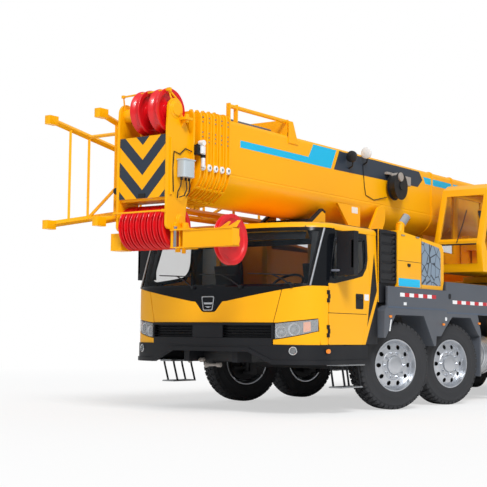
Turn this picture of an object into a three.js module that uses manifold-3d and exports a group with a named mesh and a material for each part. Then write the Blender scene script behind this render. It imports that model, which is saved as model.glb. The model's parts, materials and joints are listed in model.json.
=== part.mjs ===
// Five-axle mobile crane with a six-section boom, in millimetres.
// +X is the vehicle's left, -Y its front, +Z up. The origin lies on the ground,
// on the centreline, midway along the overall length. Stations along the vehicle
// (y) are measured from a datum plane just ahead of the first axle.
import * as THREE from 'three';
import { mergeVertices } from 'three/addons/utils/BufferGeometryUtils.js';
import Module from 'manifold-3d';

const wasm = await Module();
wasm.setup();

// ---------- driving dimensions ----------
const GAP = 0.3;                 // between pieces that touch
const RUNNING_GAP = 8;           // between pieces that move past each other
const OVERALL_LENGTH = 15040;
const FRONT_REACH = 3860;        // from the datum forward to the tip of the stowed jib

const AXLES = [130, 1752, 4850, 6200, 7550];
const STEERED_AXLES = 2;
const STEER_AT_REST = [-22.3, -16.9];   // degrees about +Z, wheels turned to the right
const KINGPIN_X = 1120;
const TYRE_RADIUS = 600;
const TYRE_WIDTH = 310;
const RIM_RADIUS = 345;
const WHEEL_OFFSET = 350;        // from the kingpin to the tyre's outer face
const TWIN_OUTER_X = 1470;       // outer face of a twin pair
const TWIN_GAP = 50;
const WHEEL_SIDES = 16;

const FRAME_HALF = 430;
const RAIL_WIDTH = 90;
const FRAME_BOTTOM = 980;
const FRAME_TOP = 1320;
const FRAME_FRONT = -1950;
const FRAME_DROP = { rear: -440, front: -560, low: 640, high: 870 };
const FRAME_REAR = 9600;
const BOX_FRAME_START = 2350;    // rails ahead of this, one closed box behind

const CAB_HALF = 1480;
const CAB_FRONT = -2300;
const CAB_REAR = -575;
const CAB_FLOOR = 950;
const CAB_SILL = 885;
const CAB_NOSE_BOTTOM = 1140;
const LAMP_INNER = 936;           // inner edge of the yellow corners that hold the headlamps
const CAB_BELT = 1590;
const CAB_ROOF = 2415;
const CAB_WALL = 50;
const GLASS = 8;
const DOOR_GAP = 6;
const DOOR_FRONT = -1810;
const DOOR_REAR = -790;

const DECK_HALF = 1550;
const FENDER_INNER = 1180;
const DECK_TOP = 1790;
const DECK_BOTTOM = 1325;
const DECK_REAR = 9350;
const SKIRT = 40;
const FENDER_TOP = 1400;
const FRONT_DECK_TOP = 1660;
const ENGINE_TOP = 2430;

const SLEW_Y = 6600;
const SLEW_RADIUS = 720;
const TURNTABLE_BOTTOM = 1880;
const TURNTABLE_HALF = 610;
const TURNTABLE_PLATE = 60;

const BOOM_HALF = 450;
const BOOM_TOP = 3680;
const BOOM_SEAM = 2980;
const BOOM_BOTTOM = 2620;
const BOOM_FRONT = -2525;
const BOOM_REAR = 9000;
const BOOM_WALL = 14;
const SECTIONS = 6;
const COLLAR = 107;              // length of a section's collar
const COLLAR_RISE = 42;
const PIVOT = { y: 8700, z: 3050 };
const PIVOT_PIN = 80;
const HEAD = { front: -3640, rear: -3190, half: 400, plate: 36, top: 3780, bottom: 2215 };
const SHEAVE_RADIUS = 270;       // of the two stacks in the boom head
const AUX_SHEAVE_RADIUS = 300;
const SHEAVE_PIN = 55;
const AUX_PIN = 40;
const UPPER_SHEAVES = { y: -3500, z: 3640, x: [-25, 253], width: 140 };
const LOWER_SHEAVES = { y: -3385, z: 2260, count: 8, half: 360 };
const AUX_SHEAVE = { x: 1000, y: -3190, z: 2095, width: 70 };
const AUX_ARM = { end: 1300, front: -3550, rear: -3430, low: 1990, high: 2200 };

const OUTRIGGERS = [3300, 8560];         // front face of each outrigger box
const BEAM_WIDTH = 240;
const BEAM_HEIGHT = 260;
const BEAM_LENGTH = 2740;
const BEAM_BOTTOM = 660;
const JACK_RADIUS = 75;
const JACK_X = 1390;

const COLOURS = {
  yellow: [0xffb800, 0.38, 0.0], black: [0x1c1e22, 0.6, 0.0], grey: [0x555a61, 0.55, 0.1],
  red: [0xd8101a, 0.4, 0.0], tyre: [0x2a2b2e, 0.85, 0.0], rim: [0xc9ccd0, 0.28, 0.9],
  steel: [0x8d9196, 0.4, 0.7], glass: [0x24303a, 0.08, 0.0], seat: [0x2b2d31, 0.8, 0.0],
};

// ---------- solid helpers ----------
function solidOf(geometry) {
  const bare = geometry.clone();
  bare.deleteAttribute('normal');
  bare.deleteAttribute('uv');
  const merged = mergeVertices(bare, 1e-3);
  const index = Array.from(merged.index.array);
  const triangles = [];
  for (let i = 0; i < index.length; i += 3) {
    const [a, b, c] = index.slice(i, i + 3);
    if (a !== b && b !== c && c !== a) triangles.push(a, b, c);
  }
  return new wasm.Manifold(new wasm.Mesh({
    numProp: 3,
    vertProperties: new Float32Array(merged.attributes.position.array),
    triVerts: new Uint32Array(triangles),
  }));
}

// Radius of a bore of that many sides which just clears a round pin.
const boreFor = (pin, sides) => (pin + GAP) / Math.cos(Math.PI / sides);

const join = (...solids) => solids.flat().reduce((all, next) => all.add(next));
const cut = (solid, ...tools) => tools.flat().reduce((left, tool) => left.subtract(tool), solid);

function block(x0, x1, y0, y1, z0, z1) {
  const box = new THREE.BoxGeometry(x1 - x0, y1 - y0, z1 - z0);
  return solidOf(box.translate((x0 + x1) / 2, (y0 + y1) / 2, (z0 + z1) / 2));
}

// A piece and its mirror image across the centreline.
const bothSides = (make) => join(make(1), make(-1));
const sideBlock = (side, x0, x1, y0, y1, z0, z1) => (side > 0
  ? block(x0, x1, y0, y1, z0, z1)
  : block(-x1, -x0, y0, y1, z0, z1));

// Extrudes an outline along an axis: pairs are (y, z) for x, (x, z) for y, (x, y) for z.
function prism(axis, outline, from, to) {
  const shape = new THREE.Shape(outline.map(([a, b]) => new THREE.Vector2(a, b)));
  const body = new THREE.ExtrudeGeometry(shape, { depth: to - from, bevelEnabled: false });
  const basis = {
    x: [[0, 1, 0], [0, 0, 1], [1, 0, 0], [from, 0, 0]],
    y: [[1, 0, 0], [0, 0, 1], [0, -1, 0], [0, to, 0]],
    z: [[1, 0, 0], [0, 1, 0], [0, 0, 1], [0, 0, from]],
  }[axis];
  const [u, v, w, shift] = basis.map((row) => new THREE.Vector3(...row));
  const matrix = new THREE.Matrix4().makeBasis(u, v, w).setPosition(shift);
  return solidOf(body.applyMatrix4(matrix));
}

function drum(axis, radius, from, to, a, b, sides = 24) {
  const body = new THREE.CylinderGeometry(radius, radius, to - from, sides);
  const middle = (from + to) / 2;
  if (axis === 'x') body.rotateZ(-Math.PI / 2).translate(middle, a, b);
  if (axis === 'y') body.translate(a, middle, b);
  if (axis === 'z') body.rotateX(Math.PI / 2).translate(a, b, middle);
  return solidOf(body);
}

// A round bar between two points.
function rod(from, to, radius, sides = 8) {
  const start = new THREE.Vector3(...from);
  const end = new THREE.Vector3(...to);
  const body = new THREE.CylinderGeometry(radius, radius, start.distanceTo(end), sides);
  const turn = new THREE.Quaternion().setFromUnitVectors(
    new THREE.Vector3(0, 1, 0), end.clone().sub(start).normalize());
  body.applyQuaternion(turn).translate(...start.add(end).multiplyScalar(0.5).toArray());
  return solidOf(body);
}

// Joins rings of equal point counts into one closed solid; each ring runs counter-clockwise
// seen from the end of the stack.
function loft(rings) {
  const count = rings[0].length;
  const points = rings.flat();
  const triangles = [];
  for (let r = 0; r + 1 < rings.length; r += 1) {
    for (let i = 0; i < count; i += 1) {
      const a = r * count + i;
      const b = r * count + (i + 1) % count;
      triangles.push(a, b, b + count, a, b + count, a + count);
    }
  }
  const flat = rings[0].map((p) => new THREE.Vector2(p[0], p[1]));
  const faces = THREE.ShapeUtils.triangulateShape(flat, []);
  const last = (rings.length - 1) * count;
  for (const [a, b, c] of faces) {
    triangles.push(c, b, a, last + a, last + b, last + c);
  }
  const geometry = new THREE.BufferGeometry();
  geometry.setAttribute('position', new THREE.Float32BufferAttribute(points.flat(), 3));
  geometry.setIndex(triangles);
  return solidOf(geometry);
}

const crane = new THREE.Group();
crane.position.y = FRONT_REACH - OVERALL_LENGTH / 2;

function meshOf(name, colour, solid, origin = [0, 0, 0]) {
  const { vertProperties, triVerts, numProp } = solid.getMesh();
  const positions = new Float32Array((vertProperties.length / numProp) * 3);
  for (let i = 0; i < positions.length / 3; i += 1) {
    for (let k = 0; k < 3; k += 1) {
      positions[3 * i + k] = vertProperties[numProp * i + k] - origin[k];
    }
  }
  const geometry = new THREE.BufferGeometry();
  geometry.setAttribute('position', new THREE.BufferAttribute(positions, 3));
  geometry.setIndex(Array.from(triVerts));
  geometry.computeVertexNormals();
  const [color, roughness, metalness] = COLOURS[colour];
  const mesh = new THREE.Mesh(geometry,
    new THREE.MeshStandardMaterial({ color, roughness, metalness }));
  mesh.name = name;
  mesh.position.set(...origin);
  return mesh;
}

function add(name, colour, solid, parent = crane) {
  const mesh = meshOf(name, colour, solid);
  parent.add(mesh);
  return mesh;
}

// ---------- wheels, knuckles and axles ----------
// A tyre with its rim about the x axis; its outer face is at x = 0, the rest towards -x.
function wheelSolid(width = TYRE_WIDTH) {
  const shoulder = 34;
  const dish = 95;
  const hubRadius = 150;
  const profile = [
    [0, -width + 60], [hubRadius, -width + 60], [RIM_RADIUS, -width + 12],
    [TYRE_RADIUS - 45, -width], [TYRE_RADIUS, -width + shoulder],
    [TYRE_RADIUS, -shoulder], [TYRE_RADIUS - 45, 0], [RIM_RADIUS, -12],
    [RIM_RADIUS - 22, -dish], [hubRadius, -dish - 20], [hubRadius, -20], [0, -20],
  ];
  return lathe(profile, WHEEL_SIDES);
}

function lathe(profile, sides) {
  const body = new THREE.LatheGeometry(profile.map(([r, h]) => new THREE.Vector2(r, h)), sides);
  body.rotateZ(-Math.PI / 2);
  return solidOf(body);
}

function placeX(solid, x) {
  return solid.translate([x, 0, 0]);
}

function frontWheel(axle, side) {
  const knuckle = new THREE.Group();
  knuckle.position.set(side * KINGPIN_X, AXLES[axle], TYRE_RADIUS);
  knuckle.rotation.z = THREE.MathUtils.degToRad(STEER_AT_REST[axle]);
  const label = `${side > 0 ? 'left' : 'right'}_${axle + 1}`;
  const face = WHEEL_OFFSET;
  const rimBack = face - TYRE_WIDTH + 60;
  const carrier = join(
    drum('z', 62, -150, 150, 0, 0, 16),
    drum('x', 105, 20, rimBack - GAP, 0, 0, 16),
    block(-30, 34, -260, 0, -118, -82));
  const wheel = placeX(wheelSolid(), face);
  const turned = side > 0 ? [carrier, wheel] : [mirrorX(carrier), mirrorX(wheel)];
  knuckle.add(meshOf(`knuckle_${label}`, 'black', turned[0]));
  knuckle.add(meshOf(`wheel_${label}`, 'tyre', turned[1]));
  crane.add(knuckle);
}

const mirrorX = (solid) => solid.mirror([1, 0, 0]);

function rearWheels(axle, side) {
  const outer = placeX(wheelSolid(), TWIN_OUTER_X);
  const inner = placeX(mirrorX(wheelSolid()), TWIN_OUTER_X - 2 * TYRE_WIDTH - TWIN_GAP);
  const hub = drum('x', 170, TWIN_OUTER_X - TYRE_WIDTH - TWIN_GAP - 120,
    TWIN_OUTER_X - TYRE_WIDTH + 100, 0, 0, 16);
  const pair = join(outer, inner, hub);
  const mesh = meshOf(`wheels_${side > 0 ? 'left' : 'right'}_${axle + 1}`, 'tyre',
    side > 0 ? pair : mirrorX(pair));
  mesh.position.set(0, AXLES[axle], TYRE_RADIUS);
  crane.add(mesh);
}

// A leaf spring pack under one frame rail, its ends bent up to the frame.
function springPack(side, y, seat) {
  const reach = 560;
  const top = FRAME_BOTTOM - GAP;
  const outline = [
    [y - 90, seat], [y + 90, seat], [y + reach, top - 70], [y + reach, top],
    [y + reach - 70, top], [y + reach - 90, top - 70], [y + 80, seat + 120], [y - 80, seat + 120],
    [y - reach + 90, top - 70], [y - reach + 70, top], [y - reach, top], [y - reach, top - 70],
  ];
  const inner = FRAME_HALF - RAIL_WIDTH;
  const leaf = prism('x', outline, inner, FRAME_HALF);
  return side > 0 ? leaf : mirrorX(leaf);
}

function axleSolid(axle) {
  const y = AXLES[axle];
  const z = TYRE_RADIUS;
  const springs = bothSides((side) => springPack(side, y, z + 60));
  if (axle < STEERED_AXLES) {
    const beamEnd = KINGPIN_X - 190;
    const forkGap = 150 + GAP;
    const beam = join(
      block(-beamEnd, beamEnd, y - 75, y + 75, z - 80, z + 70),
      bothSides((side) => join(
        sideBlock(side, beamEnd - 20, KINGPIN_X - 90, y - 80, y + 80, z - forkGap - 45, z + forkGap + 45),
        sideBlock(side, KINGPIN_X - 100, KINGPIN_X + 40, y - 80, y + 80, z - forkGap - 45, z - forkGap),
        sideBlock(side, KINGPIN_X - 100, KINGPIN_X + 40, y - 80, y + 80, z + forkGap, z + forkGap + 45))));
    return join(beam, springs);
  }
  const end = TWIN_OUTER_X - 2 * TYRE_WIDTH - TWIN_GAP + 20 - GAP;
  const bulge = drum('y', 235, y - 190, y + 190, 0, z, 20);
  return join(drum('x', 95, -end, end, y, z, 16), bulge, springs,
    bothSides((side) => sideBlock(side, FRAME_HALF - RAIL_WIDTH, FRAME_HALF, y - 100, y + 100, z, z + 80)));
}

for (let axle = 0; axle < AXLES.length; axle += 1) {
  add(`axle_${axle + 1}`, 'black', axleSolid(axle));
  for (const side of [1, -1]) {
    if (axle < STEERED_AXLES) frontWheel(axle, side);
    else rearWheels(axle, side);
  }
}

// ---------- chassis ----------
function outriggerBox(front) {
  const depth = 2 * BEAM_WIDTH + 110;
  const wall = 30;
  const low = BEAM_BOTTOM - wall - RUNNING_GAP;
  const high = BEAM_BOTTOM + BEAM_HEIGHT + wall + RUNNING_GAP;
  const reach = 1220;
  const shell = block(-reach, reach, front, front + depth, low, high);
  const bays = [1, -1].map((side) => {
    const y = beamFront(front, side) - RUNNING_GAP;
    return block(-reach - 10, reach + 10, y, y + BEAM_WIDTH + 2 * RUNNING_GAP,
      BEAM_BOTTOM - GAP, BEAM_BOTTOM + BEAM_HEIGHT + RUNNING_GAP);
  });
  const saddle = block(-FRAME_HALF, FRAME_HALF, front, front + depth, high - 10, FRAME_BOTTOM + 10);
  return join(cut(shell, ...bays), saddle);
}

// Each outrigger box holds two beams side by side: the left one in front.
function beamFront(front, side) {
  return side > 0 ? front + 35 : front + 75 + BEAM_WIDTH;
}

function chassisSolid() {
  const inner = FRAME_HALF - RAIL_WIDTH;
  const rails = bothSides((side) => join(
    sideBlock(side, inner, FRAME_HALF, FRAME_DROP.front, BOX_FRAME_START + 20, FRAME_BOTTOM, FRAME_TOP),
    sideBlock(side, inner, FRAME_HALF, FRAME_DROP.front, FRAME_DROP.rear, FRAME_DROP.low, FRAME_TOP),
    sideBlock(side, inner, FRAME_HALF, FRAME_FRONT, FRAME_DROP.rear, FRAME_DROP.low, FRAME_DROP.high)));
  const crossbars = [
    block(-FRAME_HALF, FRAME_HALF, FRAME_FRONT, FRAME_FRONT + 120, FRAME_DROP.low, FRAME_DROP.high),
    block(-FRAME_HALF, FRAME_HALF, FRAME_DROP.front, FRAME_DROP.rear, FRAME_DROP.low + 30, FRAME_DROP.high),
    block(-FRAME_HALF, FRAME_HALF, 1500, 1620, FRAME_BOTTOM, FRAME_TOP - 60)];
  const box = block(-FRAME_HALF, FRAME_HALF, BOX_FRAME_START, FRAME_REAR, FRAME_BOTTOM, FRAME_TOP + 120);
  const ringBase = drum('z', SLEW_RADIUS, FRAME_TOP, TURNTABLE_BOTTOM - GAP, 0, SLEW_Y, 32);
  const tail = block(-1350, 1350, FRAME_REAR - 140, FRAME_REAR, 820, FRAME_TOP);
  const cabMounts = bothSides((side) => join([-1600, -700].map((y) => sideBlock(side,
    FRAME_HALF - RAIL_WIDTH, FRAME_HALF, y, y + 80, FRAME_DROP.high - 10, CAB_SILL - GAP))));
  return join(rails, crossbars, box, ringBase, tail, cabMounts,
    OUTRIGGERS.map(outriggerBox),
    bothSides((side) => sideBlock(side, FRAME_HALF - 20, DECK_HALF - SKIRT - 20,
      SLEW_Y - 60, SLEW_Y + 60, FRAME_TOP - 40, FRAME_TOP + 80)));
}
add('chassis_frame', 'black', chassisSolid());

// ---------- outriggers ----------
function outriggerBeam(front, side) {
  const y = beamFront(front, side);
  const end = DECK_HALF - 40;
  const beam = block(end - BEAM_LENGTH, end - 60, y, y + BEAM_WIDTH, BEAM_BOTTOM, BEAM_BOTTOM + BEAM_HEIGHT);
  const middle = y + BEAM_WIDTH / 2;
  const housing = block(JACK_X - 110, end, y - 10, y + BEAM_WIDTH + 10, BEAM_BOTTOM - 60, DECK_BOTTOM - 25);
  const bore = drum('z', JACK_RADIUS + GAP, BEAM_BOTTOM - 80, DECK_BOTTOM - 60, JACK_X, middle, 20);
  return cut(join(beam, housing), bore);
}

function jackSolid(front, side) {
  const middle = beamFront(front, side) + BEAM_WIDTH / 2;
  const foot = 200;
  const footTop = BEAM_BOTTOM - 60 - RUNNING_GAP;
  return join(
    drum('z', JACK_RADIUS, footTop - 30, DECK_BOTTOM - 75, JACK_X, middle, 20),
    drum('z', foot, footTop - 70, footTop - 10, JACK_X, middle, 20));
}

OUTRIGGERS.forEach((front, row) => {
  for (const side of [1, -1]) {
    const label = `${row ? 'rear' : 'front'}_${side > 0 ? 'left' : 'right'}`;
    const beam = outriggerBeam(front, side);
    const jack = jackSolid(front, side);
    add(`outrigger_beam_${label}`, 'grey', side > 0 ? beam : mirrorX(beam));
    add(`outrigger_jack_${label}`, 'steel', side > 0 ? jack : mirrorX(jack));
  }
});

// ---------- carrier cab ----------
// Half of the cab's front outline in plan, from the centreline to the corner: [x, y back from the nose].
const NOSE = [[0, 0], [600, 18], [980, 75], [1245, 170], [1400, 305], [1480, 500]];

// Closed plan outline, counter-clockwise from above, at one height.
function cabRing(z, setback, inset, rear = CAB_REAR) {
  const ratio = (CAB_HALF - inset) / CAB_HALF;
  const left = NOSE.map(([x, y]) => [x * ratio, CAB_FRONT + y + setback]);
  const right = left.slice(1).map(([x, y]) => [-x, y]).reverse();
  return [...right, ...left, [CAB_HALF * ratio, rear], [-CAB_HALF * ratio, rear]]
    .map(([x, y]) => [x, y, z]);
}

const ROOF_SETBACK = 215;
const ROOF_INSET = 40;

function cabBody(shrink) {
  const rear = CAB_REAR - shrink;
  return join(
    loft([
      cabRing(CAB_SILL + shrink, shrink, shrink, rear),
      cabRing(CAB_BELT, shrink, shrink, rear),
      cabRing(CAB_ROOF - 60 - shrink * 0.4, ROOF_SETBACK + shrink, ROOF_INSET + shrink, rear),
      cabRing(CAB_ROOF - shrink, ROOF_SETBACK + 90 + shrink, ROOF_INSET + 60 + shrink, rear - 30),
    ]));
}

const SCREEN = { low: CAB_BELT + 5, high: CAB_ROOF - 75, half: 1335 };

function screenOpening(shrink) {
  return prism('y', [
    [-SCREEN.half + shrink, SCREEN.low + shrink], [SCREEN.half - shrink, SCREEN.low + shrink],
    [SCREEN.half - 55 - shrink, SCREEN.high - shrink], [-SCREEN.half + 55 + shrink, SCREEN.high - shrink],
  ], CAB_FRONT - 60, DOOR_FRONT - 40 - shrink);
}

// Side outline of a door, in (y, z).
function doorOutline(shrink) {
  return [
    [DOOR_REAR - 190 - shrink, CAB_SILL - 10], [DOOR_REAR - shrink, CAB_BELT - 40],
    [DOOR_REAR - shrink, CAB_ROOF - 95 - shrink], [DOOR_FRONT + 215 + shrink, CAB_ROOF - 95 - shrink],
    [DOOR_FRONT + shrink, CAB_BELT + 60], [DOOR_FRONT + shrink, CAB_SILL - 10],
  ];
}

const doorWindow = [
  [DOOR_FRONT + 90, CAB_BELT + 135], [DOOR_FRONT + 260, CAB_ROOF - 190],
  [DOOR_REAR - 60, CAB_ROOF - 190], [DOOR_REAR - 60, CAB_BELT + 70],
  [DOOR_FRONT + 330, CAB_BELT + 70],
].reverse();

const DOOR_INNER = CAB_HALF - 130;
const HINGE = { x: CAB_HALF + 14, y: DOOR_FRONT, radius: 14, levels: [1020, 1450], height: 50 };

function cabShell() {
  const shell = cut(cabBody(0), cabBody(CAB_WALL),
    screenOpening(0),
    bothSides((side) => {
      const opening = prism('x', doorOutline(0), DOOR_INNER, CAB_HALF + 60);
      return side > 0 ? opening : mirrorX(opening);
    }),
    block(-760, 760, CAB_REAR - 120, CAB_REAR + 60, CAB_BELT + 120, CAB_ROOF - 170),
    block(-LAMP_INNER, LAMP_INNER, CAB_FRONT - 60, DOOR_FRONT - 115, CAB_SILL - 10, CAB_NOSE_BOTTOM));
  const floor = block(-DOOR_INNER - 10, DOOR_INNER + 10,
    DOOR_FRONT - 105, CAB_REAR - 10, CAB_SILL + 15, CAB_FLOOR + 20);
  const toeboard = block(-1300, 1300, DOOR_FRONT - 150, DOOR_FRONT - 100, CAB_SILL + 15, CAB_NOSE_BOTTOM + 30);
  const shelf = block(-1180, 1180, CAB_FRONT + 150, DOOR_FRONT - 110, CAB_NOSE_BOTTOM, CAB_NOSE_BOTTOM + 30);
  const hinges = bothSides((side) => {
    const knuckles = join(hingeKnuckles(HINGE.levels, HINGE.height, HINGE.y - 30, false));
    return side > 0 ? knuckles : mirrorX(knuckles);
  });
  return join(shell, floor, toeboard, shelf, hinges);
}
add('cab_shell', 'yellow', cabShell());

add('cab_windscreen', 'glass', cut(cabBody(18), cabBody(18 + GLASS))
  .intersect(screenOpening(GAP)));

// Mirror housing on two arms that grow out of the door's front edge.
const MIRROR = { inner: 1515, outer: 1765, front: -1670, rear: -1560, low: 1740, high: 2290, arm: 14 };

function doorMirror() {
  const { inner, outer, front, rear, low, high, arm } = MIRROR;
  const wall = CAB_HALF - 40;
  return join(block(inner, outer, front, rear, low, high),
    rod([wall, -1727, 1800], [inner + 60, front + 40, 1800], arm, 8),
    rod([wall, -1597, 2200], [inner + 60, front + 60, 2200], arm, 8));
}

function cabDoor(side) {
  const panel = cut(cabBody(0), cabBody(CAB_WALL - 2))
    .intersect(prism('x', doorOutline(DOOR_GAP), DOOR_INNER + 20, CAB_HALF + 60));
  const door = join(cut(panel, prism('x', doorWindow, DOOR_INNER - 20, CAB_HALF + 80)),
    hingeKnuckles(HINGE.levels, HINGE.height, HINGE.y + 40, true), doorMirror());
  return side > 0 ? door : mirrorX(door);
}
add('cab_door_left', 'yellow', cabDoor(1));
add('cab_door_right', 'yellow', cabDoor(-1));

// A door hinge in three knuckles on one upright pin line: the middle one on the door.
function hingeKnuckles(levels, height, leafTo, middle) {
  return levels.flatMap((z) => (middle ? [z] : [z - height - GAP, z + height + GAP]).map((low) => join(
    drum('z', HINGE.radius, low, low + height, HINGE.x, HINGE.y, 10),
    block(HINGE.x - 40, HINGE.x, Math.min(HINGE.y, leafTo), Math.max(HINGE.y, leafTo), low, low + height))));
}

const SEAT_X = 750;

function cabInterior() {
  const base = CAB_FLOOR + 20 + GAP;
  const seat = (x) => join(
    block(x - 180, x + 180, -1250, -850, base, base + 240),
    block(x - 250, x + 250, -1330, -800, base + 230, base + 370),
    prism('x', [[-860, base + 340], [-760, base + 360], [-680, base + 1010], [-760, base + 1010]],
      x - 240, x + 240),
    block(x - 120, x + 120, -750, -690, base + 1000, base + 1150));
  const tray = block(-1250, 1250, -1840, -700, base, base + 12);
  const dash = prism('x', [
    [-1990, CAB_NOSE_BOTTOM + 60], [-1830, CAB_NOSE_BOTTOM + 60], [-1780, CAB_BELT - 130],
    [-1850, CAB_BELT - 10], [-1990, CAB_BELT - 40],
  ], -1220, 1220);
  const pedestal = block(-1100, 1100, -1895, -1835, base, CAB_NOSE_BOTTOM + 120);
  const column = rod([SEAT_X, -1900, 1300], [SEAT_X, -1640, 1640], 35, 10);
  const rim = new THREE.TorusGeometry(225, 17, 6, 16)
    .rotateX(THREE.MathUtils.degToRad(37)).translate(SEAT_X, -1640, 1640);
  const spoke = rod([SEAT_X - 210, -1640, 1640], [SEAT_X + 210, -1640, 1640], 16, 8);
  return join(tray, seat(SEAT_X), seat(-SEAT_X), dash, pedestal, column, solidOf(rim), spoke);
}
add('cab_interior', 'seat', cabInterior());

// Bumper with grille and lamp housings, wrapped round the nose under the yellow panel.
function bumperRing(z, outset, setback = 0) {
  return cabRing(z, -outset + setback, -outset, -820);
}

function bumperSolid() {
  const top = CAB_NOSE_BOTTOM - 4;
  const outside = loft([bumperRing(610, 0, 60), bumperRing(720, 20), bumperRing(top, 20)]);
  const inside = loft([bumperRing(600, -70, 60), bumperRing(720, -60), bumperRing(top + 20, -60)]);
  const sides = block(-1600, 1600, DOOR_FRONT - 120, 0, CAB_SILL - 6, 1300);
  const corners = bothSides((side) => sideBlock(side, LAMP_INNER - 6, 1600, CAB_FRONT - 60, DOOR_FRONT,
    CAB_SILL - 6, 1300));
  const notch = prism('y', [[-950, 560], [950, 560], [950, 611], [620, 780], [-620, 780], [-950, 611]],
    CAB_FRONT - 60, CAB_FRONT + 400);
  const brackets = bothSides((side) => sideBlock(side, FRAME_HALF - RAIL_WIDTH, FRAME_HALF,
    CAB_FRONT + 40, FRAME_FRONT - GAP, FRAME_DROP.low, FRAME_DROP.high));
  const steps = bothSides((side) => join(
    [[CAB_HALF - 40, -1450], [CAB_HALF - 40, -965], [CAB_HALF - 210, -1450], [CAB_HALF - 210, -965]].map(([x, y]) =>
      sideBlock(side, x, x + 30, y, y + 30, 330, 640)),
    sideBlock(side, CAB_HALF - 210, CAB_HALF - 10, -1450, -935, 330, 350),
    sideBlock(side, CAB_HALF - 210, CAB_HALF - 10, -1500, -880, 610, 640)));
  return join(cut(outside, inside, sides, corners, notch), brackets, steps);
}
add('front_bumper', 'black', bumperSolid());

// ---------- engine ----------
add('engine_block', 'grey', join(
  block(-FRAME_HALF + RAIL_WIDTH + 30, FRAME_HALF - RAIL_WIDTH - 30, -350, 1250, 760, 1580),
  [[-250, 80], [900, 80]].map(([y, size]) => block(-FRAME_HALF + 5, FRAME_HALF - 5,
    y, y + size, FRAME_TOP + GAP, FRAME_TOP + 60))));

// Side cover over the engine bay with the air intake pillar ahead of it.
const COVER = { front: -100, rear: 1290, inner: 640, outer: 1520 };
const EXHAUST_X = 1000;
const INTAKE_INNER = 1100;

function engineCover(side) {
  const outline = [
    [COVER.front, FRONT_DECK_TOP + GAP], [COVER.rear - 40, FRONT_DECK_TOP + GAP],
    [COVER.rear, FRONT_DECK_TOP + 120], [COVER.rear, ENGINE_TOP - 190],
    [COVER.rear - 60, ENGINE_TOP - 110], [COVER.front, ENGINE_TOP],
  ];
  const inside = outline.map(([y, z]) => [y * 0.94 + 35, z > 2000 ? z - 35 : z - 60]);
  const hood = cut(prism('x', outline, COVER.inner, COVER.outer),
    prism('x', inside, COVER.inner - 20, COVER.outer - 35));
  const rearWall = block(COVER.inner, COVER.inner + 30, COVER.front, COVER.rear - 60,
    FRONT_DECK_TOP + GAP, ENGINE_TOP - 170);
  const intake = join(
    block(INTAKE_INNER, CAB_HALF, CAB_REAR + 20, COVER.front + 10, FENDER_TOP + 40, ENGINE_TOP - 20));
  const parts = [hood, rearWall, intake];
  if (side > 0) {
    parts.push(rod([EXHAUST_X, 930, 2250], [EXHAUST_X, 930, 2620], 62, 14),
      rod([EXHAUST_X, 925, 2590], [EXHAUST_X, 1110, 2740], 62, 14));
  }
  const all = join(parts);
  return side > 0 ? all : mirrorX(all);
}
add('engine_cover_left', 'yellow', engineCover(1));
add('engine_cover_right', 'yellow', engineCover(-1));

// ---------- decks and fenders ----------
function deckSolid(side) {
  const inner = FRAME_HALF + GAP;
  const front = -520;
  const archTop = FENDER_TOP - 120;
  const frontSkirt = block(DECK_HALF - SKIRT, DECK_HALF, -420, 1340, FENDER_TOP - 30, FRONT_DECK_TOP);
  const frontTop = block(inner, DECK_HALF, -60, 1340, FRONT_DECK_TOP - 30, FRONT_DECK_TOP);
  const fender = prism('x', [
    [front, 970], [-475, 970], [-200, archTop], [610, archTop], [925, 860], [990, 860],
    [1005, 1000], [1150, 1000], [1275, 1110], [1510, archTop], [2130, archTop],
    [2385, 1040], [2455, 1000], [2455, 400], [2500, 400], [2500, 1060], [2360, FENDER_TOP],
    [-420, FENDER_TOP], [front + 20, 1330],
  ], FENDER_INNER, DECK_HALF);
  const riser = [1330, 2200].map((y) => block(FENDER_INNER, DECK_HALF - 10, y, y + 40, FENDER_TOP - 20, FRONT_DECK_TOP));
  const rearTop = block(inner, DECK_HALF, 1370, DECK_REAR, DECK_TOP - 30, DECK_TOP);
  const slope = block(inner, DECK_HALF, 1330, 1400, FRONT_DECK_TOP - 30, DECK_TOP);
  const rearSkirt = block(DECK_HALF - SKIRT, DECK_HALF, 1320, DECK_REAR, DECK_BOTTOM, DECK_TOP);
  const ribs = [2400, 4180, 5520, 6880, 8230, DECK_REAR - 40].map((y) => block(
    inner, DECK_HALF - 10, y, y + 40, DECK_BOTTOM + 60, DECK_TOP - 10));
  const ring = drum('z', SLEW_RADIUS + 30, FRAME_TOP, DECK_TOP + 50, 0, SLEW_Y, 32);
  const deck = cut(join(frontSkirt, frontTop, fender, riser, rearTop, slope, rearSkirt, ribs), ring,
    block(FRAME_HALF - 40, DECK_HALF - SKIRT - 10, SLEW_Y - 70, SLEW_Y + 70, FRAME_TOP - 50, FRAME_TOP + 90),
    block(FRAME_HALF - 40, FRAME_HALF + GAP, 0, FRAME_REAR, FRAME_TOP - 50, FRAME_TOP + 130));
  return side > 0 ? deck : mirrorX(deck);
}
add('deck_left', 'grey', deckSolid(1));
add('deck_right', 'grey', deckSolid(-1));

const TANK_X = 1190;

// Fuel tank on the left and its twin for air and batteries on the right.
function tankSolid(side) {
  const tank = join(
    drum('y', 310, 2620, 3180, TANK_X, 720, 24),
    block(FRAME_HALF - 60, TANK_X, 2700, 2760, 860, 1060),
    block(FRAME_HALF - 60, TANK_X, 3040, 3100, 860, 1060));
  const strapped = cut(tank, block(0, FRAME_HALF + GAP, 2600, 3200, 400, 1400));
  return side > 0 ? strapped : mirrorX(strapped);
}
add('fuel_tank_left', 'steel', tankSolid(1));
add('fuel_tank_right', 'steel', tankSolid(-1));

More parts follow.
